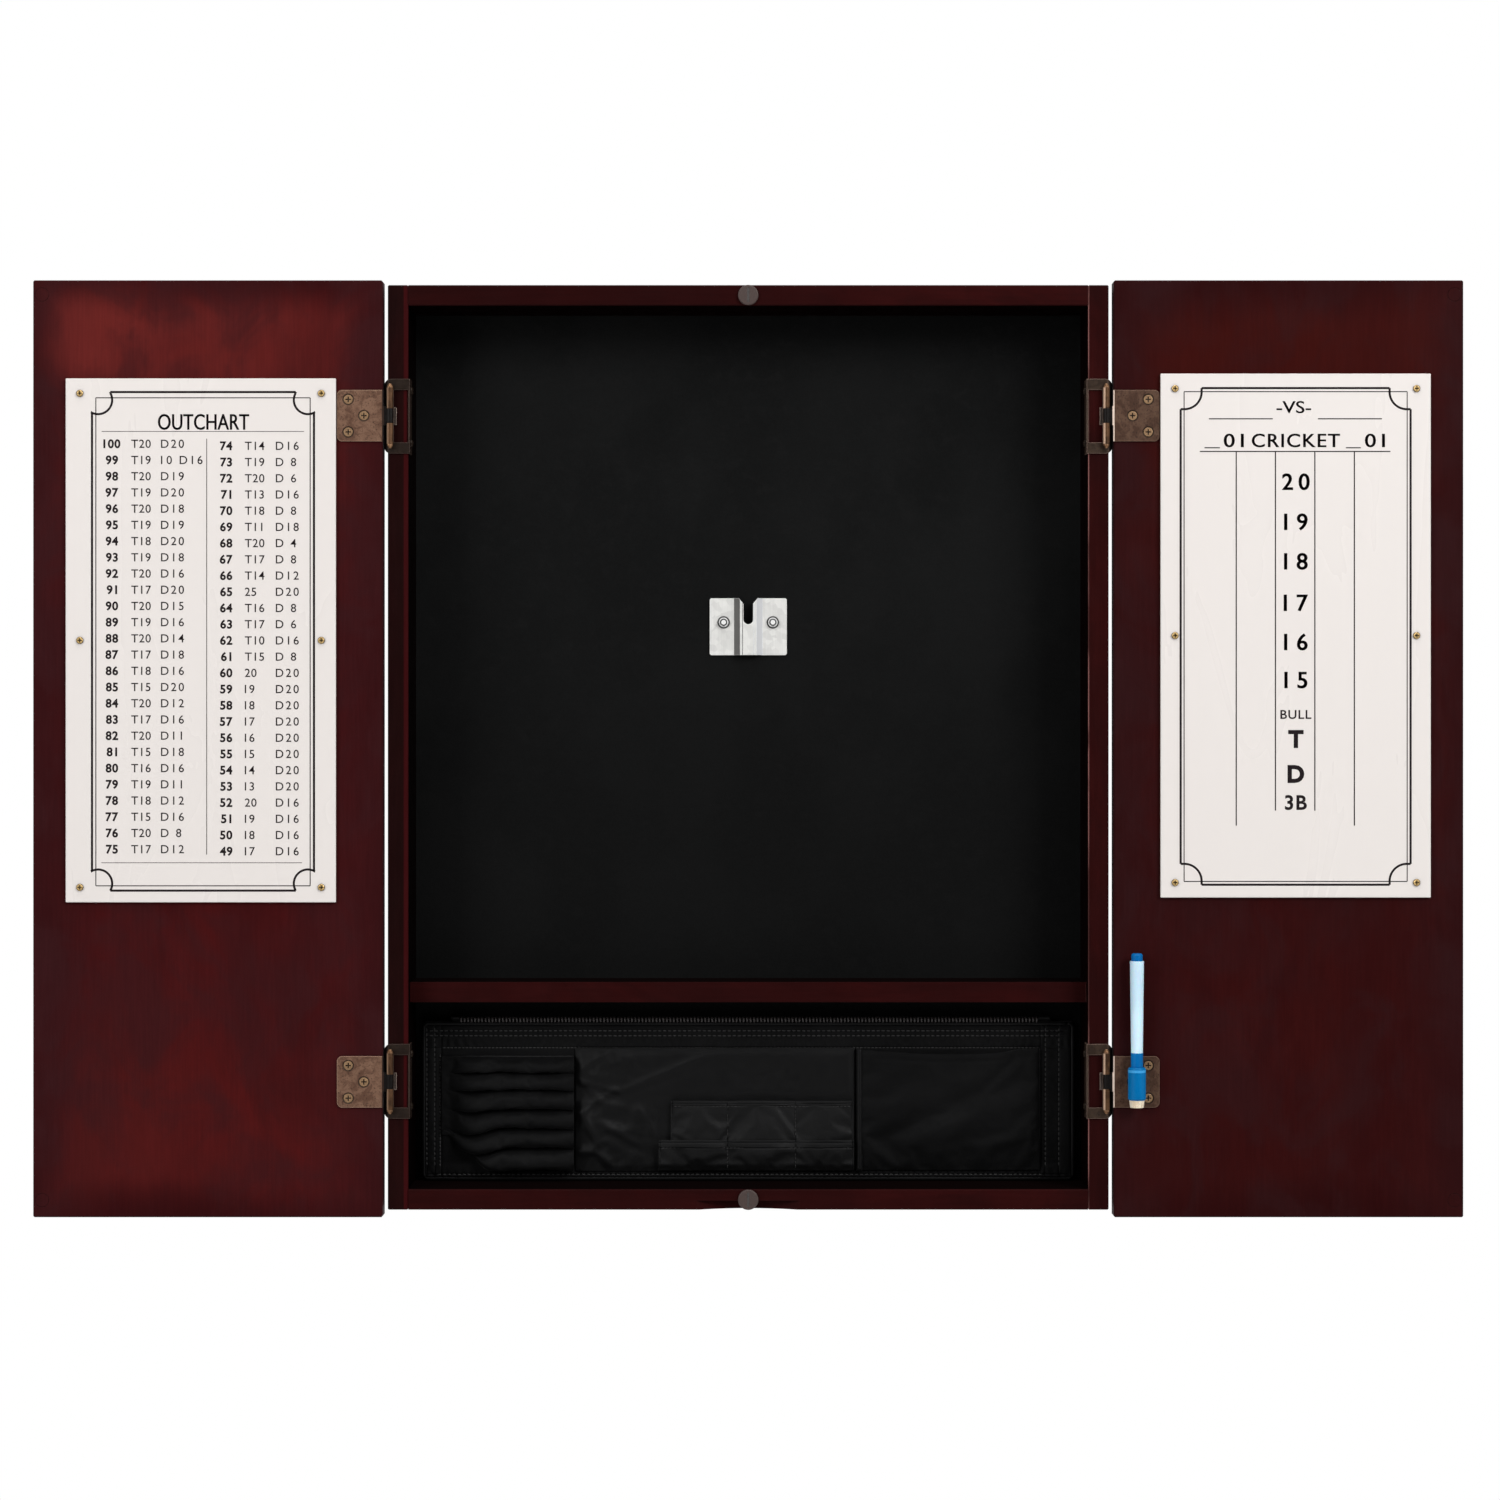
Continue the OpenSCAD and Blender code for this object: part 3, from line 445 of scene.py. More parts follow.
# Colour of the painted highlight along the right leaves' rolled edge.
roll_highlight = (0.72, 0.57, 0.48)
left_panel, right_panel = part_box("left_door_panel"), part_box("right_door_panel")
# The left side panel's copy of the mahogany is darker, as painted shade; the left door's copy is lighter
# than the right door's, as painted light.
wood_up = mahogany("mahogany_upright", "Z", DARK, RED)
wood_across = mahogany("mahogany_across", "X", DARK, RED)
wood_painted_shade = mahogany("mahogany_painted_shade", "Z", (0.0092, 0.0027, 0.0026), (0.0167, 0.0036, 0.0035))
wood_left_painted_light = mahogany("mahogany_left_door_painted_light", "Z", (0.032, 0.0043, 0.005), (0.057, 0.0052, 0.0056),
                     (0.118, 0.015, 0.013), left_panel)
wood_right_painted_light = mahogany("mahogany_right_door_painted_light", "Z", (0.0235, 0.0034, 0.0036), (0.04, 0.005, 0.0046),
                      (0.037, 0.0045, 0.0036), right_panel)
pine_across, beech = bare_wood("pine_across", "X"), bare_wood("beech_dowel", "X")
board_paint, zinc_sheet = painted_board(), zinc()
leaf_brass = old_brass("antique_brass_leaf", (0.112, 0.056, 0.036), (0.205, 0.114, 0.074),
                       (0.026, 0.011, 0.007), (0.42, 0.27, 0.19), 0.35, 0.42, "leaf")
wing_brass = old_brass("antique_brass_wing", (0.03, 0.018, 0.012), (0.05, 0.032, 0.022),
                       (0.012, 0.007, 0.006), (0.19, 0.13, 0.105), 0.4, 0.42, "wing")
pin_brass = old_brass("antique_brass_pin", (0.15, 0.074, 0.036), (0.25, 0.135, 0.07),
                      (0.07, 0.033, 0.017), (0.45, 0.28, 0.17), 0.6, 0.34)
screw_brass = plated("worn_brass", (0.36, 0.22, 0.115), (0.15, 0.085, 0.045), 0.32, 0.5,
                     leaf_screw_top + 0.0001)
bright_brass = plated("bright_brass", (0.7, 0.48, 0.2), (0.34, 0.21, 0.075), 0.24, 0.6,
                      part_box("left_board_screws")[0].y + 0.00025)
bright_steel = plated("bright_steel", (0.8, 0.8, 0.79), (0.7, 0.7, 0.69), 0.3, 0.1, None,
                      ((0.0018, 0.0027), (0.0036, 0.005)))
# The spring's lighter edges are its painted edge highlights.
spring_steel = old_brass("spring_steel", (0.045, 0.034, 0.029), (0.07, 0.052, 0.044),
                         (0.018, 0.013, 0.011), (0.34, 0.26, 0.22), 0.4, 0.34)
catch_nickel = plated("dull_nickel", (0.064, 0.042, 0.037), (0.044, 0.029, 0.026), 0.42, 0.25)
ferrite = plated("ferrite", (0.05, 0.042, 0.04), (0.028, 0.024, 0.023), 0.55, 0.1)
white_board = gloss_board()
print_ink = grainy("printed_ink", (1400, 3, 0.6), ((0.009, 0.006, 0.007), (0.018, 0.013, 0.014)),
                   (0.35, 0.7), (0.3, 0.7, 0.32, 0.5), Specular_IOR_Level=0.1)
nylon = cloth("black_nylon_weave", (0.0022, 0.0022, 0.0024), (0.0042, 0.0042, 0.0044),
              crumple=0.5, shine=0.08)
soft_nylon = cloth("black_lining_nylon", (0.0066, 0.0066, 0.0068), (0.0115, 0.0115, 0.0118), 2000, 0.5,
                   0.00006, 0.25, 0.11)
satin = cloth("black_satin", (0.0024, 0.0024, 0.0026), (0.004, 0.004, 0.0043), 2600, 0.46,
              0.00005, 0.3, 0.14)
hem_tape = cloth("grosgrain_tape", (0.003, 0.003, 0.0032), (0.0052, 0.0052, 0.0055), 1100, 0.5,
                 0.00012, 0.15, 0.12)
stitch_thread = grainy("bonded_thread", (2600, 2, 0.6), ((0.015, 0.0145, 0.0145), (0.038, 0.037, 0.037)),
                       None, (0.3, 0.7, 0.5, 0.7), (0.00006, 0.6), Sheen_Weight=0.1,
                       Specular_IOR_Level=0.3)
teeth_plastic = grainy("nylon_teeth", (900, 3, 0.6), ((0.014, 0.011, 0.011), (0.034, 0.027, 0.027)),
                       None, (0.3, 0.7, 0.3, 0.5), (0.00004, 0.5))
tape_hooks = grainy("hook_tape", (1100,), ((0.03, 0.03, 0.03), (0.008, 0.008, 0.008)),
                    (0.1, 0.6), (0.0, 0.6, 0.55, 0.9), (0.0006, 0.9))
cap_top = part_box("marker_cap")[1].z
cap_blue = moulded("cap_blue", (0.0, 0.142, 0.37), (0.0, 0.115, 0.31), 0.26, 0.0,
                   (cap_top - 0.0034, cap_top - 0.0018, (0.06, 0.36, 0.72)))
plug_blue = moulded("plug_blue", (0.0, 0.14, 0.4), (0.0, 0.095, 0.3), 0.3)
barrel_pale = moulded("barrel_pale", (0.6, 0.79, 0.89), (0.52, 0.7, 0.82), 0.24, 0.25)
nib_grey = moulded("nib_grey", (0.05, 0.05, 0.055), (0.03, 0.03, 0.035), 0.7)
felt = wool_felt()

# Slot, material and nodes; SIDE stands for left and right, LEVEL for upper and lower.
finishes = [
    ("mahogany_wood", wood_painted_shade, "left_side_panel"),
    ("mahogany_wood", wood_up, "right_side_panel"),
    ("mahogany_wood", wood_across, "top_panel bottom_panel divider_shelf"),
    ("mahogany_wood", wood_left_painted_light, "left_door_panel"),
    ("mahogany_wood", wood_right_painted_light, "right_door_panel"),
    ("painted_steel", wood_left_painted_light, "left_strike_discs"),
    ("painted_steel", wood_right_painted_light, "right_strike_discs"),
    ("black_board", board_paint, "back_panel"),
    ("plain_wood", pine_across, "upper_wall_rail lower_wall_rail bracket_backer"),
    ("plain_wood", beech, "corner_dowels"),
    ("zinc_sheet", zinc_sheet, "dartboard_bracket"),
    ("zinc_sheet", bright_steel, "bracket_screws"),
    ("catch_metal", catch_nickel, "LEVEL_magnet_catch"),
    ("catch_metal", spring_steel, "hinge_spring_LEVEL_SIDE"),
    ("magnet", ferrite, "LEVEL_catch_magnet marker_magnet"),
    ("hook_and_loop", tape_hooks, "organizer_hook_strips"),
    ("antique_brass", leaf_brass, "SIDE_leaf_LEVEL"),
    ("antique_brass", wing_brass, "hinge_wing_LEVEL_SIDE"),
    ("antique_brass", pin_brass, "hinge_pin_LEVEL_SIDE"),
    ("antique_brass", screw_brass, "wing_screws_SIDE SIDE_leaf_screws"),
    ("bright_brass", bright_brass, "SIDE_board_screws"),
    ("write_on_board", white_board, "SIDE_board"),
    ("blue_plastic", cap_blue, "marker_cap"),
    ("blue_plastic", plug_blue, "marker_neck marker_end_plug"),
    ("pale_blue_plastic", barrel_pale, "marker_barrel"),
    ("felt", felt, "marker_eraser"),
    ("felt", nib_grey, "marker_nib marker_reservoir"),
]
for slot, material, patterns in finishes:
    names = set(patterns.split())
    for word, values in (("SIDE", ("left", "right")), ("LEVEL", ("upper", "lower"))):
        names = {name.replace(word, value) for name in names for value in values}
    for name in sorted(names):
        piece = nodes[name]
        piece.data.materials.clear()
        piece.data.materials.append(material)


# ---- mesh builders

def new_piece(name, points, faces, body, material, smooth=True):
    """A mesh piece from points in millimetres."""
    piece = put_mesh(name, (np.asarray(points, float) * MM).tolist(), faces)
    piece.data.polygons.foreach_set("use_smooth", [smooth] * len(piece.data.polygons))
    piece.data.materials.append(material)
    piece.data.update()
    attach(piece, body)
    return piece


def grid_faces(rows, columns, start=0):
    """Quads of a grid of points listed row by row, facing -Y when rows go down and columns right."""
    at = start + np.arange(rows * columns).reshape(rows, columns)
    return np.stack([at[:-1, :-1], at[1:, :-1], at[1:, 1:], at[:-1, 1:]], -1).reshape(-1, 4).tolist()


def sheet_piece(name, x, y, z, material, thick, finer=0):
    """A sheet of cloth from grids of coordinates."""
    points = np.stack([x, y, z], -1)
    piece = new_piece(name, points.reshape(-1, 3), grid_faces(*x.shape), "cabinet", material)
    if finer:
        smoother = piece.modifiers.new("finer", "SUBSURF")
        smoother.levels = smoother.render_levels = finer
    wall = piece.modifiers.new("thickness", "SOLIDIFY")
    wall.thickness = thick * MM
    wall.offset = -1.0
    across = np.linalg.norm(np.diff(points, axis=1), axis=-1).sum(1).mean()
    down = np.linalg.norm(np.diff(points, axis=0), axis=-1).sum(0).mean()
    if min(across, down) < 12:      # a tape, not a sheet
        return piece
    return piece


def settle(x, y, z, held, slack, loose=None, push=0.0, weight=0.0, bend=0.25, frames=18, backing=None):
    """Cloth simulation of a grid of points in millimetres, pinned where held. The cloth is cut larger
    than its place by the share slack, or by less where loose is near 0, so that it wrinkles. A push
    above 0 swells it towards its front, and one below 0 presses it on a flat backing. weight is its
    share of gravity."""
    grow = 0.01         # a millimetre of cloth is simulated as a centimetre
    flat = np.stack([x, y, z], -1).reshape(-1, 3) * grow
    piece = put_mesh("settling", flat.tolist(), grid_faces(*x.shape))
    pins = piece.vertex_groups.new(name="pins")
    pins.add(np.flatnonzero(held.ravel()).tolist(), 1.0, "REPLACE")
    cloth = piece.modifiers.new("cloth", "CLOTH")
    rule = cloth.settings
    rule.quality, rule.mass, rule.air_damping = 6, 0.15, 2.0
    rule.tension_stiffness = rule.compression_stiffness = 15
    rule.shear_stiffness, rule.bending_stiffness = 6, bend
    rule.vertex_group_mass = "pins"
    rule.shrink_min = rule.shrink_max = -slack
    wall = None
    if backing is not None:
        (x0, x1), (z0, z1) = (np.array([v.min() - 20, v.max() + 20]) * grow for v in (x, z))
        level = backing * grow
        wall = put_mesh("backing", [(x0, level, z0), (x1, level, z0), (x1, level, z1), (x0, level, z1)],
                        [[0, 1, 2, 3]])
        wall.modifiers.new("wall", "COLLISION")
        wall.collision.thickness_outer, wall.collision.cloth_friction = 0.002, 20
        cloth.collision_settings.distance_min = 0.002
    if loose is not None:
        share_of = piece.vertex_groups.new(name="loose")
        for index, share in enumerate(loose.ravel()):
            share_of.add([index], float(share), "REPLACE")
        rule.vertex_group_shrink, rule.shrink_min = "loose", 0.0
    rule.use_pressure, rule.uniform_pressure_force = push != 0, push
    rule.effector_weights.gravity = weight
    cloth.point_cache.frame_start, cloth.point_cache.frame_end = 1, frames
    for frame_number in range(1, frames + 1):
        scene.frame_set(frame_number)
    done = piece.evaluated_get(bpy.context.evaluated_depsgraph_get()).data
    got = np.empty(len(done.vertices) * 3)
    done.vertices.foreach_get("co", got)
    scene.frame_set(1)
    for helper in filter(None, (piece, wall)):
        mesh = helper.data
        bpy.data.objects.remove(helper)
        bpy.data.meshes.remove(mesh)
    got = got.reshape(*x.shape, 3) / grow
    return got[..., 0], got[..., 1], got[..., 2]


def steps(low, high, pitch, fine=()):
    """Points from low to high about pitch apart, with more of them round each value in fine."""
    plain = np.linspace(low, high, max(2, round((high - low) / pitch) + 1))
    extra = [c + d for c in fine for d in (-1.0, -0.5, -0.2, 0.0, 0.2, 0.5, 1.0)]
    return np.unique(np.clip(np.concatenate([plain, extra]), low, high))


def ease(value, low, high):
    t = np.clip((value - low) / (high - low), 0, 1)
    return t * t * (3 - 2 * t)


def cloudy(x, z, scale, seed):
    """A smooth random field from -1 to 1 whose bumps are about scale apart."""
    lattice = np.random.default_rng(seed).uniform(-1, 1, (97, 97))
    u, v = x / scale + 500.37, z / scale + 500.81
    i, j = np.floor(u).astype(int), np.floor(v).astype(int)
    f, g = u - i, v - j
    f, g = f * f * (3 - 2 * f), g * g * (3 - 2 * g)
    a, b, c, d = i % 97, (i + 1) % 97, j % 97, (j + 1) % 97
    low = lattice[a, c] * (1 - f) + lattice[b, c] * f
    high = lattice[a, d] * (1 - f) + lattice[b, d] * f
    return low * (1 - g) + high * g


def crumple(x, z, scale, seed):
    """Sharp-crested wrinkles: from 0 in the hollows to 1 on the crests."""
    return 1 - np.abs(cloudy(x, z, scale, seed)) * 2


def fold(x, z, a, b, width, height, hollow=0.0):
    """A ridge that runs from a to b and fades at its ends, with a hollow along its lower side."""
    a, b = np.array(a, float), np.array(b, float)
    run = b - a
    length = np.hypot(*run)
    t = ((x - a[0]) * run[0] + (z - a[1]) * run[1]) / length ** 2
    d = ((x - a[0]) * run[1] - (z - a[1]) * run[0]) / length
    fade = ease(t, -0.12, 0.15) * ease(1 - t, -0.12, 0.15)
    crest = height / (1 + (d / width) ** 2) ** 1.5
    trough = hollow * np.exp(-((d - 1.6 * width) / width) ** 2)
    return fade * (crest - trough)


def groove(value, at, width, depth):
    return -depth * np.exp(-((value - at) / width) ** 2)


def tube_points(path, radius, sides=8):
    """Rings of points round a path of points in millimetres."""
    path = np.asarray(path, float)
    run = np.gradient(path, axis=0)
    run /= np.linalg.norm(run, axis=1)[:, None]
    out = np.array([0.0, -1.0, 0.0])
    side = np.cross(run, out)
    side /= np.maximum(np.linalg.norm(side, axis=1)[:, None], 1e-9)
    other = np.cross(side, run)
    turn = np.linspace(0, 2 * math.pi, sides, endpoint=False)
    radius = np.broadcast_to(radius, len(path))
    return (path[:, None] + radius[:, None, None] * (
        np.cos(turn)[None, :, None] * side[:, None] + np.sin(turn)[None, :, None] * other[:, None]))


def tube_faces(rings, sides, start):
    faces = []
    for r in range(rings - 1):
        for s in range(sides):
            n = (s + 1) % sides
            a, b = start + r * sides, start + (r + 1) * sides
            faces.append([a + s, a + n, b + n, b + s])
    faces.append([start + s for s in range(sides)][::-1])
    faces.append([start + (rings - 1) * sides + s for s in range(sides)])
    return faces


class Tubes:
    """Gathers many small tubes into one piece."""

    def __init__(self):
        self.points, self.faces = [], []

    def add(self, path, radius, sides=6):
        rings = tube_points(path, radius, sides)
        self.faces += tube_faces(len(path), sides, len(self.points))
        self.points += rings.reshape(-1, 3).tolist()

    def stitches(self, a, b, y, length=2.4, gap=1.3, radius=0.36):
        """A run of stitches from a to b on a surface whose depth is y(x, z)."""
        a, b = np.array(a, float), np.array(b, float)
        run = b - a
        total = np.hypot(*run)
        for k in range(int(total // (length + gap))):
            t = (k * (length + gap) + gap / 2 + np.array([0, 0.22, 0.78, 1.0]) * length) / total
            x, z = a[0] + t * run[0], a[1] + t * run[1]
            deep = np.array([float(y(np.array(p), np.array(q))) for p, q in zip(x, z)])
            out = deep - np.array([-0.25, 0.25, 0.25, -0.25]) * radius * 3
            self.add(np.stack([x, out, z], -1), radius * np.array([0.7, 1, 1, 0.7]))

    def piece(self, name, material):
        return new_piece(name, self.points, self.faces, "cabinet", material)


# ---- printing on the boards

def outline(text, weight, spacing):
    """Points and faces of a flat string in Blender's own font, one em tall."""
    curve = bpy.data.curves.new("lettering", "FONT")
    curve.body, curve.offset, curve.space_character = text, weight, spacing
    curve.resolution_u = 4
    holder = put("lettering", curve)
    mesh = bpy.data.meshes.new_from_object(holder)
    points = np.array([v.co[:2] for v in mesh.vertices], float).reshape(-1, 2)
    faces = [list(p.vertices) for p in mesh.polygons]
    bpy.data.objects.remove(holder)
    bpy.data.meshes.remove(mesh)
    bpy.data.curves.remove(curve)
    return points, faces


CAPITAL = np.ptp(outline("H", 0.0, 1.0)[0][:, 1])


class Print:
    """Flat print on a board. Places are in millimetres from the board's middle, across and up."""

    def __init__(self, board):
        low, high = mm_box(board)
        self.across, self.up = (low[0] + high[0]) / 2, (low[2] + high[2]) / 2
        self.face = low[1] - 0.05
        self.points, self.faces, self.known = [], [], {}

    def add(self, flat, faces):
        start = len(self.points)
        self.points += [(self.across + u, self.face, self.up + v) for u, v in flat]
        self.faces += [[start + i for i in f] for f in faces]

    def text(self, string, height, u, v, weight=0.0, spacing=1.0, width=None, stress=0.0, centred=True):
        """A string whose capitals are height tall, centred on v, centred or starting at u.
        Stress thickens its upright strokes."""
        key = string, weight, spacing
        if key not in self.known:
            self.known[key] = outline(*key)
        points, faces = self.known[key]
        flat = (points - [points[:, 0].min(), CAPITAL / 2]) * (height / CAPITAL)
        if width:
            flat[:, 0] *= width / np.ptp(flat[:, 0])
        if centred:
            flat[:, 0] -= np.ptp(flat[:, 0]) / 2
        for slip in (-stress / 2, stress / 2) if stress else (0.0,):
            self.add(flat + [u + slip, v], faces)

    def line(self, u0, v0, u1, v1, width):
        across = np.array([v0 - v1, u1 - u0], float)
        across *= width / 2 / np.hypot(*across)
        a, b = np.array([u0, v0]), np.array([u1, v1])
        self.add([a - across, b - across, b + across, a + across], [[0, 1, 2, 3]])

    def arc(self, u, v, radius, start, end, width):
        turn = np.radians(np.linspace(start, end, 24))
        ring = np.stack([np.cos(turn), np.sin(turn)], -1)
        inner, outer = ring * (radius - width / 2) + [u, v], ring * (radius + width / 2) + [u, v]
        self.add(np.concatenate([inner, outer]),
                 [[i, i + 1, i + 25, i + 24][::1 if start > end else -1] for i in range(23)])

    def frame(self, thin, thick, radius, inset, sweep, weights):
        """A thin border inside a thick one whose corners are hollow arcs of that radius."""
        (a, b, c, d), (p, q, r, s) = thin, thick
        fine, bold = weights
        for u0, v0, u1, v1 in ((a, d, c, d), (a, b, c, b), (a, b, a, d), (c, b, c, d)):
            self.line(u0, v0, u1, v1, fine)
        past = math.radians((sweep - 90) / 2)
        reach = radius * math.cos(past)
        for u, v, towards in ((a + inset, d - inset, -45), (c - inset, d - inset, 225),
                              (c - inset, b + inset, 135), (a + inset, b + inset, 45)):
            self.arc(u, v, radius, towards - sweep / 2, towards + sweep / 2, bold)
        left, right = a + inset + reach, c - inset - reach
        low, high = b + inset + reach, d - inset - reach
        dip = inset - radius * math.sin(past)
        for u in (left, right):
            self.line(u, d - dip, u, s, bold)
            self.line(u, b + dip, u, q, bold)
        for v in (low, high):
            self.line(a + dip, v, p, v, bold)
            self.line(c - dip, v, r, v, bold)
        for v in (s, q):
            self.line(left, v, right, v, bold)
        for u in (p, r):
            self.line(u, low, u, high, bold)

    def piece(self, name, body):
        return new_piece(name, self.points, self.faces, body, print_ink, False)


THIN_TEXT, BOLD_TEXT = 0.006, 0.034
DIGITS = 5.9        # height of the chart's figures
ROW = 11.82         # distance from one row of the chart to the next

# Ways to finish a game on a double, from 100 down to 49, with T for treble and D for double.
finishing = """
100 T20 D20|99 T19 10 D16|98 T20 D19|97 T19 D20|96 T20 D18|95 T19 D19|94 T18 D20|93 T19 D18
92 T20 D16|91 T17 D20|90 T20 D15|89 T19 D16|88 T20 D14|87 T17 D18|86 T18 D16|85 T15 D20
84 T20 D12|83 T17 D16|82 T20 D11|81 T15 D18|80 T16 D16|79 T19 D11|78 T18 D12|77 T15 D16
76 T20 D8|75 T17 D12|74 T14 D16|73 T19 D8|72 T20 D6|71 T13 D16|70 T18 D8|69 T11 D18
68 T20 D4|67 T17 D8|66 T14 D12|65 25 D20|64 T16 D8|63 T17 D6|62 T10 D16|61 T15 D8
60 20 D20|59 19 D20|58 18 D20|57 17 D20|56 16 D20|55 15 D20|54 14 D20|53 13 D20
52 20 D16|51 19 D16|50 18 D16|49 17 D16
"""
chart = Print("left_board")
chart.frame((-76.4, -178.9, 79.8, 176.8), (-79.2, -182.4, 82.6, 181.0), 10.3, 1.6, 150, (0.7, 1.6))
chart.text("OUTCHART", 11.2, 2.1, 159.2, 0.004, 1.0, 66.3, 0.35)
chart.line(-72.2, 152.3, 75.4, 152.3, 0.42)
chart.line(4.4, 147.0, 4.4, -156.1, 0.5)
chart.line(-72.5, -162.1, 73.9, -162.1, 0.42)
rows = [r.split() for r in finishing.strip().replace("\n", "|").split("|")]
for index, (total, first, *rest) in enumerate(rows):
    right = index >= 26
    v = 143.3 - (index % 26) * ROW - (1.5 if right else 0)
    spaced = [r[0] + " " + r[1] if len(r) == 2 and r[0] == "D" else r for r in rest]
    number, treble, double = (18.6, 32.2, 54.8) if right else (-64.7, -50.6, -28.9)
    chart.text(total, DIGITS, number, v, BOLD_TEXT, 1.1)
    chart.text(first, DIGITS, treble, v, THIN_TEXT, 1.08, centred=False)
    chart.text(" ".join(spaced), DIGITS, double, v, THIN_TEXT, 1.28, centred=False)
chart.piece("left_board_print", "left_door")

score = Print("right_board")
score.frame((-81.4, -179.2, 81.2, 177.8), (-83.9, -181.6, 83.7, 180.4), 12.6, 0.2, 96, (0.7, 1.6))
for words, height, u, v, weight, spacing, width, stress in (
        ("-VS-", 8.6, -1.4, 166.5, 0.004, 1.0, 25.0, 0.3), ("01", 9.6, -45.2, 142.2, 0.006, 1.1, 14.4, 0.3),
        ("01", 9.6, 57.7, 142.2, 0.006, 1.1, 14.4, 0.3),
        ("CRICKET", 9.6, 0.1, 142.2, 0.006, 1.12, 64.1, 0.35),
        ("BULL", 6.2, 0.1, -57.5, 0.016, 1.1, 22.6, 0.0), ("T", 11.6, 0.1, -75.4, 0.045, 1.0, None, 0.0),
        ("D", 11.6, 0.1, -100.9, 0.045, 1.0, None, 0.0), ("3B", 10.0, 0.1, -121.7, 0.026, 1.12, None, 0.0)):
    score.text(words, height, u, v, weight, spacing, width, stress)
for figure, v in (("20", 112.1), ("19", 82.9), ("18", 54.1), ("17", 23.9), ("16", -4.7), ("15", -32.4)):
    score.text(figure, 11.6, 0.1, v, 0.012, 1.42, None, 0.35)
for u0, u1, v in ((-63.3, -16.7, 158.0), (16.1, 62.8, 158.0), (-66.5, -55.3, 136.9),
                  (36.5, 47.4, 136.9), (-69.9, 69.0, 134.2)):
    score.line(u0, v, u1, v, 0.8)
for u, low in ((-43.4, -138.5), (-14.8, -127.6), (13.9, -127.6), (42.7, -138.5)):
    score.line(u, 134.2, u, low, 0.85)
score.piece("right_board_print", "right_door")


# ---- the pocket organizer

(cover_x0, _, cover_z0), (cover_x1, pad_back, cover_z1) = mm_box("organizer_binding")
pad_front = mm_box("organizer_panel")[0][1]
lining_y = pad_front - 0.2
zip_z = cover_z1 - 1.9
pad_top = cover_z1 - 3.4
DIVISIONS = (-15.3, 35.2)       # where the rows of small pockets are sewn through
edge_lines_x = [-239.5, -233.6, -228.7, 218.0, 221.4, 231.4]
edge_lines_z = [-302.0, -306.6, -310.3, -319.3, -413.6]


def cover_depth(x, z):
    """How far the padded cover's front stands from its back."""
    inset = np.minimum.reduce([x - cover_x0, cover_x1 - x, z - cover_z0, pad_top - z])
    round_over = np.sqrt(np.clip(1 - (1 - np.clip(inset / 3.6, 0, 1)) ** 2, 0, 1))
    depth = 7.4 + 0.35 * cloudy(x, z, 31, 3) + 0.2 * cloudy(x, z, 11, 4)
    rim = np.clip(inset / 13, 0, 1)
    depth += 0.7 * np.sin(math.pi * rim) * (rim < 1)
    for at in edge_lines_x:
        depth += groove(x, at, 0.55, 0.55) * ((z > -413) & (z < -300))
    for at in edge_lines_z:
        depth += groove(z, at, 0.55, 0.55) * ((x > -240) & (x < 236))
    pucker = np.exp(-((z + 315.6) / 2.6) ** 2)
    depth += pucker * 0.75 * np.sin(x * 0.9 + 1.8 * cloudy(x, z, 9, 5)) * (0.6 + 0.4 * cloudy(x, z, 23, 6))
    for off, width in ((z + 308.5, 2.6), (x - 226.0, 3.6), (x + 236.5, 2.8)):
        depth += np.exp(-(off / width) ** 2) * 0.3 * cloudy(x, z, 3.1, 9)
    low_pucker = np.exp(-((z + 413.5) / 2.4) ** 2)
    depth += low_pucker * 0.4 * np.sin(x * 1.1 + 2.2 * cloudy(x, z, 12, 7))
    return np.maximum(depth, 0.3) * round_over


def cover_y(x, z):
    return pad_back - cover_depth(x, z)


x, z = np.meshgrid(steps(cover_x0, cover_x1, 1.25, edge_lines_x),
                   steps(cover_z0, pad_top, 1.3, edge_lines_z)[::-1])
front = np.stack([x, cover_y(x, z), z], -1)
down, wide = x.shape
points = front.reshape(-1, 3).tolist()
faces = grid_faces(down, wide)
loop = ([(0, c) for c in range(wide)] + [(r, wide - 1) for r in range(1, down)]
        + [(down - 1, c) for c in range(wide - 2, -1, -1)] + [(r, 0) for r in range(down - 2, 0, -1)])
base = len(points)
points += [[x[r, c], pad_back, z[r, c]] for r, c in loop]
for k, (r, c) in enumerate(loop):
    n = (k + 1) % len(loop)
    faces.append([r * wide + c, loop[n][0] * wide + loop[n][1], base + n, base + k])
faces.append([base + k for k in range(len(loop))])
cover = new_piece("organizer_cover", points, faces, "cabinet", nylon)
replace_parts(cover, "organizer_panel")

# Piping round the cover's outer edge
corner = 5.0
left_c, right_c, low_c, high_c = (cover_x0 + corner, cover_x1 - corner, cover_z0 + corner, pad_top - corner)
path = []
for cx, cz, start in ((right_c, high_c, 90), (right_c, low_c, 0), (left_c, low_c, -90),
                      (left_c, high_c, -180)):
    for t in np.linspace(0, 90, 7):
        a = math.radians(start - t)
        path.append((cx + (corner - 1.4) * math.cos(a), cz + (corner - 1.4) * math.sin(a)))
path.append(path[0])
dense = []
for (x0, z0), (x1, z1) in zip(path, path[1:]):
    n = max(1, round(math.hypot(x1 - x0, z1 - z0) / 4))
    dense += [(x0 + (x1 - x0) * k / n, z0 + (z1 - z0) * k / n) for k in range(n)]
dense = np.array(dense + [dense[0]])
piping = Tubes()
piping.add(np.stack([dense[:, 0], pad_back - 6.2 + 0.12 * np.sin(dense[:, 0]), dense[:, 1]], -1), 1.35, 10)
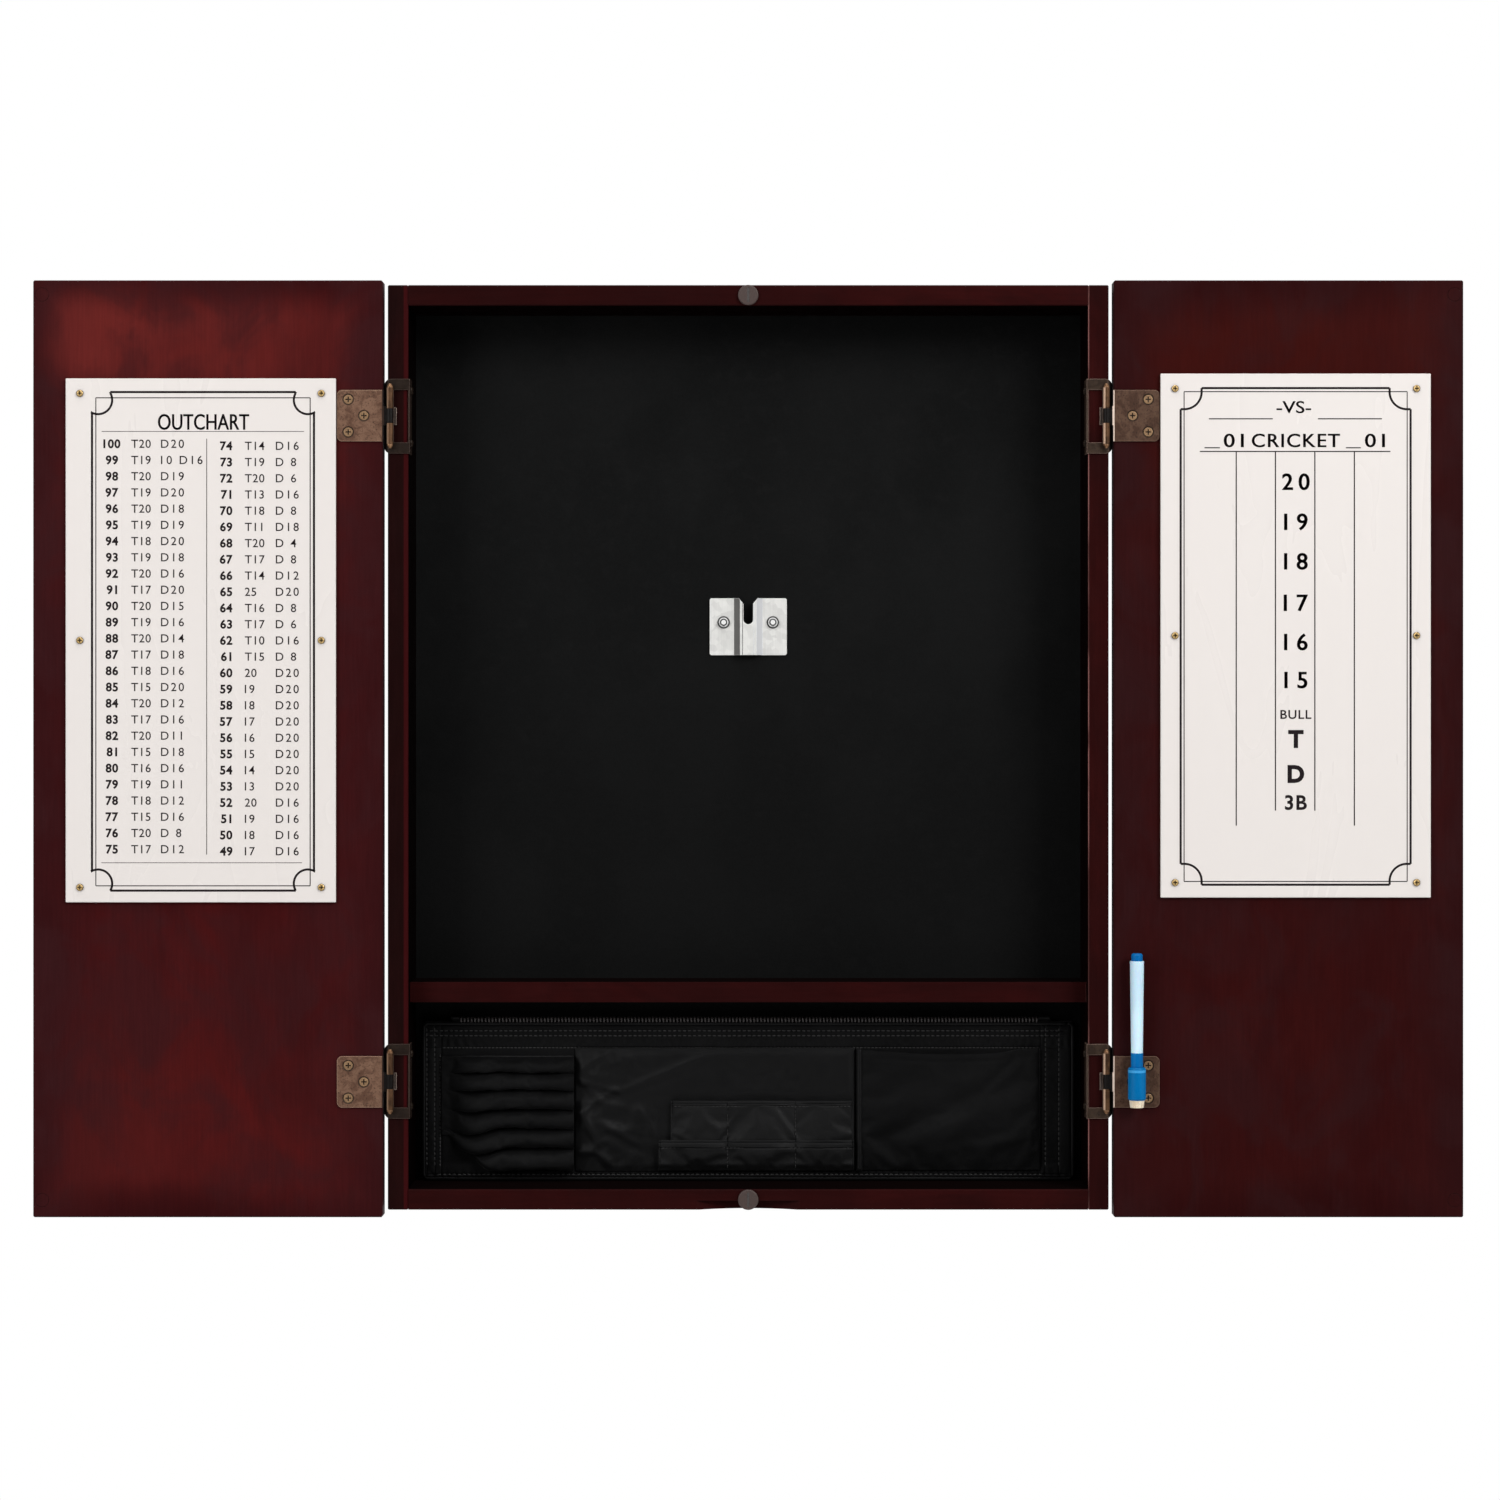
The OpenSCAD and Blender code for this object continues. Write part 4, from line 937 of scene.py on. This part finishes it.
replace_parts(piping.piece("organizer_piping", hem_tape), "organizer_binding")

# Zip along the top edge: a tape and its coil of teeth
x, z = np.meshgrid(steps(-222, 226, 2.0), steps(cover_z1 - 5.6, cover_z1, 0.7)[::-1])
tape_y = pad_back - 5.2 - 0.5 * np.sin((z - cover_z1) * 0.7) + 0.15 * cloudy(x, z, 14, 8)
sheet_piece("zip_tape", x, tape_y, z, hem_tape, 0.5)
teeth = Tubes()
for k, at in enumerate(np.arange(-214.0, 216.6, 2.6)):
    lean = 0.18 * (1 if k % 2 else -1)
    teeth.add([(at - lean, pad_back - 6.2, zip_z - 2.0), (at, pad_back - 7.1, zip_z - 1.0),
               (at, pad_back - 7.3, zip_z), (at, pad_back - 7.1, zip_z + 1.0),
               (at + lean, pad_back - 6.2, zip_z + 1.8)], 0.8, 6)
teeth.piece("zip_teeth", teeth_plastic)

# Shiny lining in the middle, pulled into creases by the dart pockets' mouths
LINE_X0, LINE_X1, LINE_TOP, LINE_LOW = -129.0, 79.5, -319.0, -411.5
x, z = np.meshgrid(steps(LINE_X0, LINE_X1, 1.9), steps(LINE_LOW, LINE_TOP, 1.9)[::-1])
# As laid in place, before it is let go: faint unevenness and the pulls at the mouths
near = 1 - ease(x, -110, -50)
laid = 1.0 + 0.25 * cloudy(x, z, 24, 11) + (0.15 + 0.5 * near) * cloudy(x, z, 8, 12)
for start, end, width, height in (
        ((-130, -340), (-103, -320), 2.2, 1.6), ((-96, -352), (-34, -326), 3.0, 1.6),
        ((-131, -343), (-94, -352), 2.0, 1.5), ((-130, -371), (-98, -349), 2.6, 1.7),
        ((-126, -362), (-112, -392), 3.4, 1.6), ((-110, -375), (-80, -392), 3.2, 1.4),
        ((-84, -362), (-68, -384), 3.6, 1.2)):
    laid += fold(x, z, start, end, width, height, 0.3)
rim = np.minimum.reduce([x - LINE_X0, LINE_X1 - x, LINE_TOP - z, z - LINE_LOW])
y = lining_y - 0.15 - laid * ease(rim, -1, 6)
near = 1 - ease(x, -112, -62)
x, y, z = settle(x, y, z, rim < 0.1, 0.03, 0.15 + 0.85 * near, -0.05, 0.0, 0.03, 14, lining_y + 0.3)
creases = 1.5 * crumple(0.8 * x + 0.5 * z, z, 17, 12) + 0.5 * crumple(x, z - 0.4 * x, 8, 13)
y -= near * ease(rim, 0, 6) * creases
y -= 0.35 * (1 - near) * ease(rim, 0, 9) * crumple(x, 1.4 * z, 34, 14)
under = ease(x, -74, -69) * ease(z, -349, -354)
y = np.clip(y, lining_y - 5.2 + 4.8 * under, lining_y - 0.15)
sheet_piece("organizer_lining", x, y, z, satin, 0.2, finer=1)

# Block of six dart pockets: soft horizontal tubes, sewn down at the left, open at the right
mouth_x, sewn_x = -129.7, -228.7
seams_z = np.array([-325.2, -337.1, -350.1, -364.5, -378.7, -393.0, -409.3])
along = steps(sewn_x, mouth_x, 1.5)
seam_lines = np.repeat(seams_z[:, None], len(along), 1)
from_left = along - sewn_x
for row, dip, centre, width, wave, pitch, phase in (
        (1, 0.6, -206, 12, 0.25, 0.09, 0), (2, 0.8, -205, 12, 0.3, 0.07, 1),
        (3, 1.8, -206, 13, 0.3, 0.08, 2), (4, 4.4, -205, 15, 0.5, 0.06, 0),
        (5, 4.6, -201, 14, 0.0, 0.0, 0)):
    seam_lines[row] -= dip * np.exp(-((along - centre) / width) ** 2)
    seam_lines[row] += wave * np.sin(along * pitch + phase)
seam_lines[5] += 14.0 * (1 - ease(from_left, 0, 17))
seam_lines[6] += 26.0 * (1 - ease(from_left, 4, 38)) - 0.6
seam_lines = np.minimum.accumulate(seam_lines, axis=0)
u = np.linspace(0, 1, 13)
strips = []
for k in range(6):
    top, low = seam_lines[k], seam_lines[k + 1]
    height = np.maximum(top - low, 0.4)
    full = 9.2 * ease(from_left, 1, 30) * np.clip(height / 13, 0.05, 1.15)
    full = full * (1 + 0.1 * cloudy(along, along * 0 + 40 * k, 21, 20 + k)) + 0.35
    full = full * (1 - 0.1 * ease(along, mouth_x - 14, mouth_x - 2))
    full = full + 0.6 * ease(along, mouth_x - 3, mouth_x)
    for t in u[: -1] if k < 5 else u:
        out = math.sin(math.pi * t) ** 0.78
        drop = t + 0.24 * math.sin(math.pi * t ** 1.5)
        dent = 1 + 0.07 * cloudy(along, along * 0 + 40 * k + 9 * t, 10, 30 + k) * out
        strips.append(np.stack([along, lining_y - 0.5 - full * out * dent, top - height * drop], -1))
strips = np.array(strips)
sewn = np.zeros(strips.shape[:2], bool)
sewn[::len(u) - 1], sewn[:, 0] = True, True
x, y, z = settle(strips[..., 0], strips[..., 1], strips[..., 2], sewn, 0.022, None, 0.25)
y, x = np.clip(y, mm_box("dart_pockets")[0][1] + 0.2, lining_y - 0.45), np.minimum(x, mouth_x + 0.8)
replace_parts(sheet_piece("dart_pocket_sheet", x, y, z, nylon, 0.4, finer=1), "dart_pockets")


def pocket_row(name, node, place, stand, hems, seed):
    """A row of small flat pockets, sewn at the sides and the bottom and at two divisions, with a
    folded hem along the top."""
    x0, x1, low, high = place
    seams_x = [x0 + 1.2, *DIVISIONS, x1 - 1.0]
    x, z = np.meshgrid(steps(x0, x1, 1.6, seams_x), steps(low, high, 1.6, hems)[::-1])
    depth = stand + 0.25 * cloudy(x, z, 19, seed) + 0.12 * cloudy(x, z, 6, seed + 1)
    for a, b in zip(seams_x, seams_x[1:]):
        share = np.clip((x - a) / (b - a), 0, 1)
        puff = np.sin(math.pi * share) ** 0.8 * (share > 0) * (share < 1)
        depth += puff * (1.5 * ease(z, low, low + 14) + 0.5 * ease(z, high - 22, high))
    for at in seams_x:
        depth += groove(x, at, 0.6, 0.7)
    for at in hems:
        depth += groove(z, at, 0.5, 0.4)
    depth += 0.5 * ease(z, hems[0] - 0.4, hems[0] + 0.4)
    depth += fold(x, z, (x0 + 22, low + 8), (x0 + 50, high - 9), 3.0, 0.7)
    depth += fold(x, z, (20, high - 6), (42, low + 14), 3.2, 0.8, 0.3)
    depth = np.maximum(depth, 0.3) * (0.35 + 0.65 * ease(z, low, low + 5))
    sewn = np.isin(x, [x0, x1, *seams_x]) | (z == low)
    x, y, z = settle(x, lining_y - 0.6 - depth, z, sewn, 0.03, None, 0.1)
    y = np.clip(y, mm_box(node)[0][1] + 0.2, lining_y - 0.6)
    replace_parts(sheet_piece(name, x, y, z, soft_nylon, 0.45, finer=1), node)


REAR, FRONT = (-57.5, 78.2, -410.5, -358.5), (-66.5, 78.4, -410.5, -387.5)
pocket_row("small_pocket_rear_sheet", "small_pockets_rear", REAR, 2.6, [-362.4, -360.9], 41)
pocket_row("small_pocket_front_sheet", "small_pockets_front", FRONT, 5.4, [-393.0, -389.4], 51)

# Large pocket: its mouth sags in the middle and stands open, its cloth pulled into slanting folds
BIG_X0, BIG_X1, BIG_LOW = 80.8, 217.2, -410.5
s, t = np.meshgrid(np.linspace(0, 1, 73), np.linspace(0, 1, 51))
x = BIG_X0 + s * (BIG_X1 - BIG_X0)
mouth = -320.3 - 3.4 * np.sin(math.pi * s) ** 1.2 + 1.6 * ease(s, 0.72, 1.0)
z = mouth + t * (BIG_LOW - mouth)
belly = 7.0 * np.sin(math.pi * s) ** 0.55 * (1 - t ** 5) * (0.72 + 0.28 * np.sin(math.pi * t))
folds = (fold(x, z, (203, -330), (178, -352), 3.2, 0.5, 0.7)
         + fold(x, z, (214, -352), (150, -372), 7.0, 0.3, 1.3)
         + fold(x, z, (172, -365), (100, -402), 7.5, 0.3, 1.6)
         + fold(x, z, (140, -352), (88, -366), 6.0, 0.6, 0.4)
         + fold(x, z, (206, -386), (132, -398), 4.0, 0.6, 0.4))
small = 0.3 * cloudy(x, z, 15, 61) + 0.15 * crumple(x, z, 8, 62) * ease(s, 0.45, 0.95)
sewn = ease(np.minimum(s * 136, (1 - s) * 136), 0, 9) * ease((1 - t) * 90, 0, 8)
hem = 0.45 * (1 - ease(t * 88, 4.6, 5.4)) + groove(t * 88, 5.2, 0.5, 0.35)
y = lining_y - 0.8 - np.clip(belly + (folds + small) * sewn + hem, 0.1, 11.2)
sewn = (s == 0) | (s == 1) | (t == 1)
x, y, z = settle(x, y, z, sewn, 0.012, None, 0.03, 0.02, 0.6)
y = np.clip(y, mm_box("large_pocket")[0][1] + 0.2, lining_y - 0.8)
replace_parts(sheet_piece("large_pocket_sheet", x, y, z, nylon, 0.45, finer=1), "large_pocket")
binding = Tubes()
edge_z = np.linspace(-319.6, -410.5, 46)
edge_y = lining_y - 1.9 + 0.1 * np.sin(edge_z)
binding.add(np.stack([np.full_like(edge_z, BIG_X0 + 1.9), edge_y, edge_z], -1), 2.2, 10)
binding.piece("large_pocket_binding", hem_tape)

# Stitching
sewing = Tubes()
for at in (-306.6, -310.3):
    sewing.stitches((-238, at), (233, at), cover_y)
sewing.stitches((-228, -319.3), (218, -319.3), cover_y, 1.9, 0.9)
sewing.stitches((-232, -413.6), (222, -413.6), cover_y)
for at in (-239.5, -233.6, 221.4, 231.4):
    sewing.stitches((at, -304), (at, -411), cover_y)
sewing.stitches((sewn_x - 0.9, -324), (sewn_x - 0.9, -409), cover_y, 1.9, 0.9)
for (x0, x1, low, high), stand, hem_z, end_z in ((REAR, 4.0, -362.4, FRONT[3] + 1),
                                                 (FRONT, 6.8, -393.0, FRONT[2] + 2)):
    hem_y = lining_y - 0.6 - stand
    sewing.stitches((x0 + 2, hem_z), (x1 - 2, hem_z), lambda p, q: hem_y, 1.9, 0.9, 0.2)
    for at in DIVISIONS:
        sewing.stitches((at, high - 1), (at, end_z), lambda p, q: hem_y + 1.7, 1.9, 0.9, 0.2)
sewing.piece("organizer_stitching", stitch_thread)


# ---- floor, light and camera

bull_height = 1.73       # the floor lies this far below the dartboard's centre
ring = [(4.5 * math.cos(a), -1.2 + 4.5 * math.sin(a), -bull_height)
        for a in np.linspace(0, 2 * math.pi, 96, endpoint=False)]
floor = put_mesh("floor", ring, [list(range(96))])
ground = Finish("pale_floor")
speck = ground.noise(3, 2)
ground.set(Base_Color=ground.mix(speck, (0.8, 0.8, 0.8), (0.84, 0.84, 0.84)), Roughness=0.7)
floor.data.materials.append(ground.material)

world = bpy.data.worlds.new("studio")
scene.world = world
world.use_nodes = True
tree = world.node_tree
tree.nodes.clear()
rays, place, split, fall, seen, glow, out = (tree.nodes.new("ShaderNode" + kind) for kind in (
    "LightPath", "TexCoord", "SeparateXYZ", "MapRange", "Mix", "Background", "OutputWorld"))
fall.interpolation_type = "SMOOTHSTEP"
glow.inputs["Color"].default_value = (1.0, 1.0, 1.0, 1.0)
for index, value in ((1, -0.95), (2, -0.45), (3, 0.03), (4, 0.62)):
    fall.inputs[index].default_value = value
seen.inputs[3].default_value = 1.0
for source, target in (
        (place.outputs["Generated"], split.inputs[0]), (split.outputs["Y"], fall.inputs[0]),
        (rays.outputs["Is Camera Ray"], seen.inputs[0]), (fall.outputs[0], seen.inputs[2]),
        (seen.outputs[0], glow.inputs["Strength"]), (glow.outputs[0], out.inputs[0])):
    tree.links.new(source, target)


def softbox(name, at, aim, size, power):
    data = bpy.data.lights.new(name, "AREA")
    data.shape, data.size, data.size_y, data.energy = "RECTANGLE", size[0], size[1], power
    lamp = put(name, data)
    lamp.location = at
    lamp.rotation_euler = (Vector(aim) - Vector(at)).to_track_quat("-Z", "Y").to_euler()


middle = (0.0, -0.05, -0.1)
softbox("key_light", (2.1, -2.3, 1.5), middle, (1.4, 1.4), 78)
softbox("fill_light", (-2.3, -2.3, 0.9), middle, (1.4, 1.8), 48)
softbox("top_light", (0.0, -0.9, 2.4), middle, (2.0, 0.9), 22)

camera_data = bpy.data.cameras.new("camera")
camera_data.lens, camera_data.sensor_width = 78.8, 36.0
camera_data.clip_end = 50
camera = put("camera", camera_data)
camera.location = (0.0013, -2.472, -0.0974)
camera.rotation_euler = (math.pi / 2, 0, 0)
scene.camera = camera
scene.view_settings.view_transform = "Standard"
